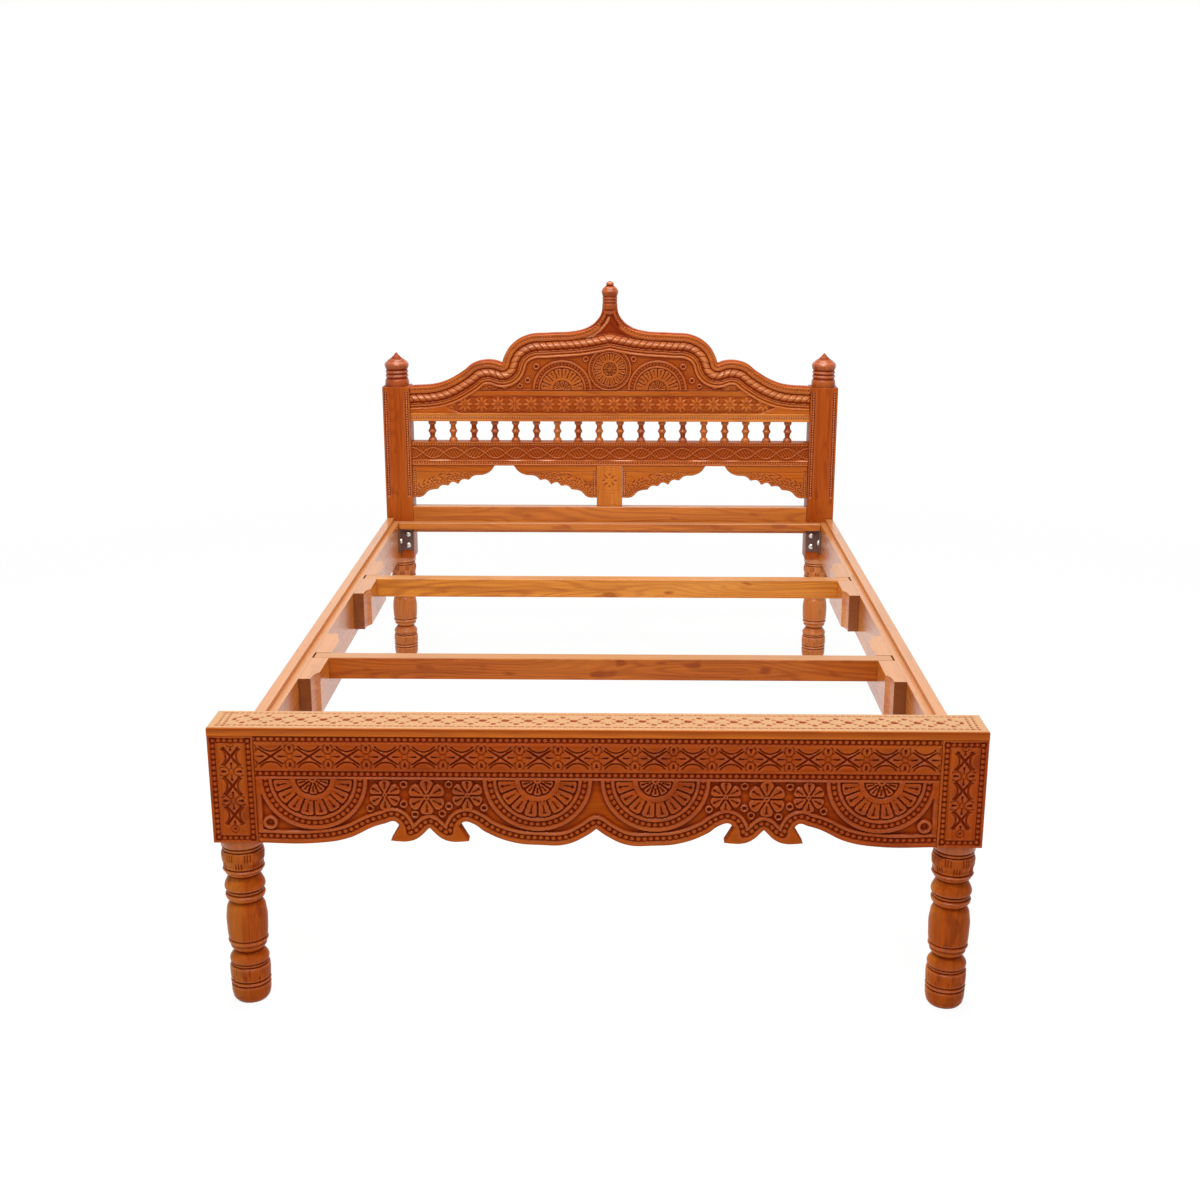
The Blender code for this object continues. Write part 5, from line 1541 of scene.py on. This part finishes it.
def teak_grain_group():
    """Figure of teak along X: growth lines sin(k * noise), fibre, dark streaks, knots and pale sapwood."""
    inputs = {
        "Coords": "Vector", "Heart": "Color", "Line": "Color", "Sap": "Color", "Sapwood": "Float",
        "Figure": "Float",
    }
    group, start, end = new_group("teak_grain", inputs, {"Colour": "Color", "Fibre": "Float"})
    coords = start.outputs["Coords"]
    amount = start.outputs["Figure"]
    line = start.outputs["Line"]
    growth = add_math(group, "MULTIPLY", add_noise(group, coords, *GROWTH_NOISE), GROWTH_LINES)
    rings = add_range(group, add_math(group, "SINE", growth, 0.0), *GROWTH_EDGE)
    rings = add_math(group, "MULTIPLY", add_math(group, "MULTIPLY", rings, amount), GROWTH_SHARE)
    # Stain with painted shade, wear with painted glints, painted top sheen, end grain with painted shade, gloss
    # and bump of the teak: shares, and the values between which they set in
    fibre = add_noise(group, coords, *FIBRE_NOISE)
    streaks = add_range(group, add_noise(group, coords, *STREAK_NOISE), *STREAK_EDGE)
    knots = add_range(group, add_noise(group, coords, *KNOT_NOISE), *KNOT_EDGE)
    clouds = add_range(group, add_noise(group, coords, *CLOUD_NOISE), *CLOUD_EDGE)
    sapwood = add_math(group, "MULTIPLY", clouds, start.outputs["Sapwood"])
    colour = add_mix(group, rings, start.outputs["Heart"], line)
    colour = add_mix(group, add_math(group, "MULTIPLY", streaks, amount), colour, line)
    colour = add_mix(group, sapwood, colour, start.outputs["Sap"])
    colour = add_mix(group, add_math(group, "MULTIPLY", knots, amount), colour, line)
    tint = group.nodes.new("ShaderNodeVectorMath")
    tint.operation = "SCALE"
    group.links.new(colour, tint.inputs[0])
    group.links.new(add_range(group, fibre, *FIBRE_SHADE), tint.inputs["Scale"])
    group.links.new(tint.outputs[0], end.inputs["Colour"])
    group.links.new(fibre, end.inputs["Fibre"])
    return group


def stain_and_painted_shade_group():
    """Dark stain with painted shade in cut ground and creases, and paler wood with a painted highlight, part
    real wear, on the edges that stand proud.
    """
    inputs = {"Colour": "Color", "Stain and shade": "Color", "Wear and glint tone": "Color", "Recess": "Float", "Wear and glint": "Float"}
    group, start, end = new_group("stain_and_painted_shade", inputs, {"Colour": "Color"})
    wear_and_glint_mix = add_math(group, "MULTIPLY", start.outputs["Wear and glint"], WEAR_AND_GLINT_SHARE)
    wear_and_glint_tone = add_mix(group, wear_and_glint_mix, start.outputs["Colour"], start.outputs["Wear and glint tone"])
    stain_and_shade_share = add_math(group, "MULTIPLY", add_range(group, start.outputs["Recess"], *STAIN_AND_SHADE_EDGE), STAIN_AND_SHADE_SHARE)
    group.links.new(add_mix(group, stain_and_shade_share, wear_and_glint_tone, start.outputs["Stain and shade"]), end.inputs["Colour"])
    return group


def lacquer_group():
    """Gloss of the lacquer: rougher in pores and in cut ground, and a stronger coat on worn crests and painted
    glints.
    """
    inputs = dict.fromkeys(("Fibre", "Recess", "Wear and glint", "Gloss", "Lustre"), "Float")
    group, start, end = new_group("lacquer", inputs, {"Roughness": "Float", "Coat": "Float"})
    pores = add_range(group, start.outputs["Fibre"], *PORE_ROUGHNESS)
    cut = add_math(group, "MULTIPLY", start.outputs["Recess"], CUT_ROUGHNESS)
    total = add_math(group, "ADD", start.outputs["Gloss"], add_math(group, "ADD", pores, cut))
    group.links.new(total, end.inputs["Roughness"])
    open_wood = add_math(group, "SUBTRACT", 1.0, start.outputs["Recess"])
    polish = add_math(group, "MULTIPLY", start.outputs["Wear and glint"], WORN_COAT)
    coat = add_math(group, "MULTIPLY", add_math(group, "ADD", start.outputs["Lustre"], polish), open_wood)
    group.links.new(coat, end.inputs["Coat"])
    return group


# Wood tones: heartwood, growth lines and sapwood of each kind, then stain that also paints shade, wear tones
# that also paint highlights, the painted top sheen and end grain that also paints shade
CARVED = ((0.318, 0.046, 0.0016), (0.170, 0.019, 0.0008), (0.440, 0.112, 0.0090))
POST = ((0.322, 0.056, 0.0022), (0.170, 0.024, 0.0012), (0.530, 0.180, 0.0230))
HEAD = ((0.335, 0.058, 0.0045), (0.185, 0.026, 0.0020), (0.460, 0.120, 0.0160))
CREST = ((0.385, 0.078, 0.0065), (0.210, 0.032, 0.0025), (0.540, 0.180, 0.0300))
DEEP = ((0.290, 0.048, 0.0035), (0.160, 0.021, 0.0012), (0.400, 0.095, 0.0090))
GOLDEN = ((0.470, 0.125, 0.0120), (0.300, 0.060, 0.0050), (0.600, 0.220, 0.0400))
SPANDREL = ((0.420, 0.095, 0.0080), (0.250, 0.042, 0.0030), (0.560, 0.190, 0.0300))
FRONT_SLAT = ((0.408, 0.092, 0.0067), (0.240, 0.042, 0.0030), (0.530, 0.165, 0.0230))
REAR_SLAT = ((0.550, 0.186, 0.0190), (0.310, 0.070, 0.0060), (0.660, 0.290, 0.0600))
HEAD_LEG = ((0.460, 0.125, 0.0220), (0.270, 0.060, 0.0080), (0.580, 0.220, 0.0600))
PLAIN = ((0.480, 0.135, 0.0140), (0.290, 0.058, 0.0050), (0.620, 0.240, 0.0480))
CAP = ((0.450, 0.103, 0.0075), (0.300, 0.055, 0.0040), (0.520, 0.150, 0.0180))
# Stain tone, mixed in also as the painted shade of cuts and creases
STAIN_AND_SHADE_TONE = (0.165, 0.0125, 0.0008)
# Wear tones, mixed in also as painted highlights on crests, bead crowns and glints
WEAR_AND_GLINT_TONE = (0.430, 0.098, 0.0110)
# Pale tone of the painted top light and sheen on faces that look up
TOP_SHEEN_TONE = (0.388, 0.220, 0.1000)
WEAR_AND_GLINT_TONE_PALE = (0.580, 0.220, 0.0750)
# End grain tone, dark enough to stand also for the painted shade on end faces
END_GRAIN_AND_SHADE = (0.110, 0.022, 0.0030)

TEAK_GRAIN = teak_grain_group()
STAIN_AND_PAINTED_SHADE = stain_and_painted_shade_group()
LACQUER = lacquer_group()
GRAIN_TURN = {"x": (0.0, 0.0, 0.0), "y": (0.0, 0.0, math.radians(-90.0)), "z": (0.0, math.radians(90.0), 0.0)}


def place_group(tree, group, values):
    """Put a node group in a material; each value is a socket, a number or a colour."""
    node = tree.nodes.new("ShaderNodeGroup")
    node.node_tree = group
    for label, value in values.items():
        feed(tree, node.inputs[label], value)
    return node


def read_tone(tree, name):
    """The value that a mesh carries under a name."""
    node = tree.nodes.new("ShaderNodeAttribute")
    node.attribute_name = name
    return node.outputs["Fac"]


def new_material(name):
    """A material with nodes; returns it, its node tree and its shader."""
    material = bpy.data.materials.new(name)
    material.use_nodes = True
    return material, material.node_tree, material.node_tree.nodes["Principled BSDF"]


def teak(
    name, grain, shift, tones, sapwood, figure, gloss, lustre, fineness, wear_and_glint_tone=WEAR_AND_GLINT_TONE, top_sheen=0.0,
    polish=0.28,
):
    """A lacquered teak finish with its grain along one axis, darker end grain with painted shade, and tops
    paled by a share as a painted top light and sheen.

    Gloss is the wood's roughness, lustre its specular level and polish the roughness of its coat.
    """
    heart, line, sap = tones
    finish, tree, shader = new_material(name)
    coords = tree.nodes.new("ShaderNodeTexCoord")
    turn = tree.nodes.new("ShaderNodeMapping")
    turn.inputs["Rotation"].default_value = GRAIN_TURN[grain]
    turn.inputs["Location"].default_value = shift
    turn.inputs["Scale"].default_value = (fineness, fineness, fineness)
    tree.links.new(coords.outputs["Object"], turn.inputs["Vector"])
    wood = place_group(tree, TEAK_GRAIN, {
        "Coords": turn.outputs[0], "Heart": heart, "Line": line, "Sap": sap, "Sapwood": sapwood,
        "Figure": figure,
    })
    facing = tree.nodes.new("ShaderNodeSeparateXYZ")
    tree.links.new(coords.outputs["Normal"], facing.inputs[0])
    # Faces that look up are paled: a painted top light and sheen
    upward = add_range(tree, facing.outputs["Z"], *TOP_EDGE, 0.0, top_sheen)
    recess = read_tone(tree, "recess")
    wear_and_glint = read_tone(tree, "wear_and_glint")
    stained_and_shaded = place_group(tree, STAIN_AND_PAINTED_SHADE, {
        "Colour": add_mix(tree, upward, wood.outputs["Colour"], TOP_SHEEN_TONE), "Stain and shade": STAIN_AND_SHADE_TONE, "Wear and glint tone": wear_and_glint_tone,
        "Recess": recess, "Wear and glint": wear_and_glint,
    })
    sheen = place_group(tree, LACQUER, {
        "Fibre": wood.outputs["Fibre"], "Recess": recess, "Wear and glint": wear_and_glint, "Gloss": gloss, "Lustre": lustre,
    })
    bump = tree.nodes.new("ShaderNodeBump")
    bump.inputs["Strength"].default_value = FIBRE_BUMP
    bump.inputs["Distance"].default_value = FIBRE_HEIGHT
    tree.links.new(wood.outputs["Fibre"], bump.inputs["Height"])
    # End grain is darker, and darkened further as painted shade on the end faces
    along_grain = add_math(tree, "ABSOLUTE", facing.outputs["xyz".index(grain)], 0.0)
    ends = add_range(tree, along_grain, *END_EDGE, 0.0, END_SHARE)
    tree.links.new(add_mix(tree, ends, stained_and_shaded.outputs["Colour"], END_GRAIN_AND_SHADE), shader.inputs["Base Color"])
    tree.links.new(sheen.outputs["Roughness"], shader.inputs["Roughness"])
    tree.links.new(bump.outputs["Normal"], shader.inputs["Normal"])
    tree.links.new(sheen.outputs["Coat"], shader.inputs["Coat Weight"])
    shader.inputs["Specular IOR Level"].default_value = lustre
    shader.inputs["Coat Roughness"].default_value = polish
    return finish


def metal(name, colour, other, metallic, gloss):
    """A worn metal finish: two tones in fine clouds, and a gloss that follows them."""
    finish, tree, shader = new_material(name)
    coords = tree.nodes.new("ShaderNodeTexCoord").outputs["Object"]
    clouds = add_noise(tree, coords, *METAL_NOISE)
    mixed = add_mix(tree, add_range(tree, clouds, *METAL_EDGE), colour, other)
    tree.links.new(mixed, shader.inputs["Base Color"])
    roughness = add_range(tree, clouds, *METAL_GLOSS_EDGE, gloss, gloss + METAL_GLOSS_RISE)
    tree.links.new(roughness, shader.inputs["Roughness"])
    shader.inputs["Metallic"].default_value = metallic
    return finish


# Teak finishes: grain, shift, tones, sapwood, figure, gloss, lustre, fineness, tone of wear and painted glints,
# share of painted top sheen and polish
TEAK_FINISHES = {
    "carved_teak_foot": ("x", (0.0, 0.0, 0.0), CARVED, 0.55, 0.50, 0.26, 0.02, 1.0),
    "carved_teak_post": ("z", (0.3, 0.1, 0.2), POST, 0.85, 0.55, 0.24, 0.03, 1.4),
    "carved_teak_block": ("z", (0.3, 0.1, 0.2), CARVED, 0.55, 0.50, 0.24, 0.02, 1.4),
    "head_post_teak": ("z", (0.9, 0.6, 0.5), HEAD, 0.50, 0.60, 0.24, 0.05, 1.8, WEAR_AND_GLINT_TONE_PALE),
    "carved_teak_crest": ("x", (0.2, 0.8, 0.6), CREST, 0.45, 0.45, 0.24, 0.05, 1.0, WEAR_AND_GLINT_TONE_PALE, 0.0, 0.17),
    "carved_teak_cap": ("x", (0.9, 0.4, 0.2), CAP, 0.45, 0.45, 0.26, 0.06, 1.0, WEAR_AND_GLINT_TONE, 0.92),
    "carved_teak_rail": ("x", (0.5, 0.3, 0.1), SPANDREL, 0.40, 0.45, 0.24, 0.06, 1.0, WEAR_AND_GLINT_TONE_PALE),
    "spandrel_teak": ("x", (0.4, 0.7, 0.3), SPANDREL, 0.40, 0.60, 0.26, 0.06, 1.0, WEAR_AND_GLINT_TONE_PALE),
    "stile_teak": ("z", (0.8, 0.2, 0.9), GOLDEN, 0.40, 0.60, 0.26, 0.10, 1.0),
    "gallery_rail_teak": ("x", (0.1, 0.5, 0.8), GOLDEN, 0.50, 0.60, 0.26, 0.10, 1.0, WEAR_AND_GLINT_TONE_PALE),
    "head_leg_teak": ("z", (0.9, 0.6, 0.5), HEAD_LEG, 0.60, 0.55, 0.22, 0.12, 1.8, WEAR_AND_GLINT_TONE_PALE),
    # One wood in two tones: the rear slats' tops, which lie in weaker light, take a smaller share of the
    # painted top sheen
    "slat_teak_front": ("x", (0.4, 0.9, 0.7), FRONT_SLAT, 0.45, 0.90, 0.24, 0.12, 1.6, WEAR_AND_GLINT_TONE, 0.70),
    "slat_teak_rear": ("x", (0.7, 0.2, 0.4), REAR_SLAT, 0.45, 0.85, 0.24, 0.14, 1.6, WEAR_AND_GLINT_TONE, 0.52),
    "plain_teak_across": ("x", (0.7, 0.2, 0.4), PLAIN, 0.45, 0.80, 0.24, 0.18, 1.3, WEAR_AND_GLINT_TONE, 0.52),
    "plain_teak_long": ("y", (0.2, 0.6, 0.1), PLAIN, 0.45, 0.60, 0.22, 0.28, 1.3, WEAR_AND_GLINT_TONE, 0.52),
    "spindle_teak_deep": ("z", (0.6, 0.5, 0.3), DEEP, 0.30, 0.50, 0.22, 0.10, 1.0),
    "spindle_teak_golden": ("z", (0.1, 0.9, 0.7), GOLDEN, 0.30, 0.50, 0.22, 0.10, 1.0),
}
TEAK = {name: teak(name, *values) for name, values in TEAK_FINISHES.items()}
BRACKET_PAINT = metal("bracket_brown_paint", (0.090, 0.036, 0.026), (0.130, 0.058, 0.042), 0.0, 0.40)
BOLT_ZINC = metal("bolt_zinc_plate", (0.74, 0.70, 0.62), (0.58, 0.53, 0.44), 1.0, 0.26)


def dress_plain_nodes():
    """Give the CAD nodes that stay on view their finishes."""
    across = TEAK["plain_teak_across"]
    along = TEAK["plain_teak_long"]
    looks = {
        "side_rail": along, "slat_housing": along, "corner_bracket": BRACKET_PAINT, "foot_ledge": across,
        "head_ledge": across, "lower_head_rail": across, "slat_front": TEAK["slat_teak_front"],
        "slat_rear": TEAK["slat_teak_rear"],
    }
    for name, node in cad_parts.items():
        for start, look in looks.items():
            if name.startswith(start):
                node.data.materials.clear()
                node.data.materials.append(look)


def background_share(tree):
    """1 for rays from the camera and for mirrored or refracted ones, which see the plain white background."""
    path = tree.nodes.new("ShaderNodeLightPath")
    share = add_math(tree, "MAXIMUM", path.outputs["Is Camera Ray"], path.outputs["Is Glossy Ray"])
    return add_math(tree, "MAXIMUM", share, path.outputs["Is Transmission Ray"])


def make_floor():
    """White paper that keeps a faint shadow near the bed and is as white as the background away from it."""
    mesh = bpy.data.meshes.new("studio_floor")
    signs = ((-1, -1), (1, -1), (1, 1), (-1, 1))
    mesh.from_pydata([(FLOOR_HALF * x, FLOOR_HALF * y, 0.0) for x, y in signs], [], [(0, 1, 2, 3)])
    floor = add_object("studio_floor", mesh)
    paper, tree, shader = new_material("studio_paper")
    shader.inputs["Base Color"].default_value = FLOOR_TONE
    shader.inputs["Roughness"].default_value = FLOOR_ROUGHNESS
    shader.inputs["Specular IOR Level"].default_value = 0.0
    glow = tree.nodes.new("ShaderNodeEmission")
    mix = tree.nodes.new("ShaderNodeMixShader")
    away = tree.nodes.new("ShaderNodeVectorMath")
    away.operation = "LENGTH"
    tree.links.new(tree.nodes.new("ShaderNodeTexCoord").outputs["Object"], away.inputs[0])
    glow_share = add_range(tree, away.outputs["Value"], *FLOOR_GLOW_REACH, FLOOR_GLOW, 1.0)
    tree.links.new(add_math(tree, "MULTIPLY", background_share(tree), glow_share), mix.inputs[0])
    tree.links.new(shader.outputs[0], mix.inputs[1])
    tree.links.new(glow.outputs[0], mix.inputs[2])
    tree.links.new(mix.outputs[0], tree.nodes["Material Output"].inputs["Surface"])
    mesh.materials.append(paper)


def make_world():
    """A world that is white to look at and lights the bed more softly."""
    world = bpy.data.worlds.new("studio_white")
    world.use_nodes = True
    bpy.context.scene.world = world
    tree = world.node_tree
    sky = tree.nodes["Background"]
    sky.inputs["Color"].default_value = (1.0, 1.0, 1.0, 1.0)
    tree.links.new(add_range(tree, background_share(tree), 0.0, 1.0, SKY_FILL, 1.0), sky.inputs["Strength"])


def make_lamps():
    """Two softboxes that look at the bed."""
    for name, place, size, power in SOFTBOXES:
        lamp = bpy.data.lights.new(name, "AREA")
        lamp.shape = "RECTANGLE"
        lamp.size, lamp.size_y = size
        lamp.energy = power
        light = add_object(name, lamp)
        light.location = place
        light.rotation_euler = (LAMP_AIM - Vector(place)).to_track_quat("-Z", "Y").to_euler()


def make_camera():
    """The photograph's view, with plain colours."""
    view = bpy.data.cameras.new("photo_view")
    view.lens = CAMERA_LENS
    view.sensor_width = SENSOR_WIDTH
    camera = add_object("photo_view", view)
    camera.location = CAMERA_PLACE
    camera.rotation_euler = (math.pi / 2 - CAMERA_TILT, 0.0, CAMERA_TURN)
    bpy.context.scene.camera = camera
    bpy.context.scene.view_settings.view_transform = "Standard"


make_foot_rail(TEAK["carved_teak_foot"])
make_foot_cap(TEAK["carved_teak_cap"])
make_posts({
    "foot": (TEAK["carved_teak_block"], TEAK["carved_teak_post"]),
    "head": (TEAK["head_post_teak"], TEAK["head_leg_teak"]),
})
make_crest(TEAK["carved_teak_crest"])
make_headboard_members()
make_spindles([TEAK[name] for name in ("carved_teak_post", "spindle_teak_deep", "spindle_teak_golden")])
make_bolts(BOLT_ZINC)
dress_plain_nodes()
make_floor()
make_world()
make_lamps()
make_camera()
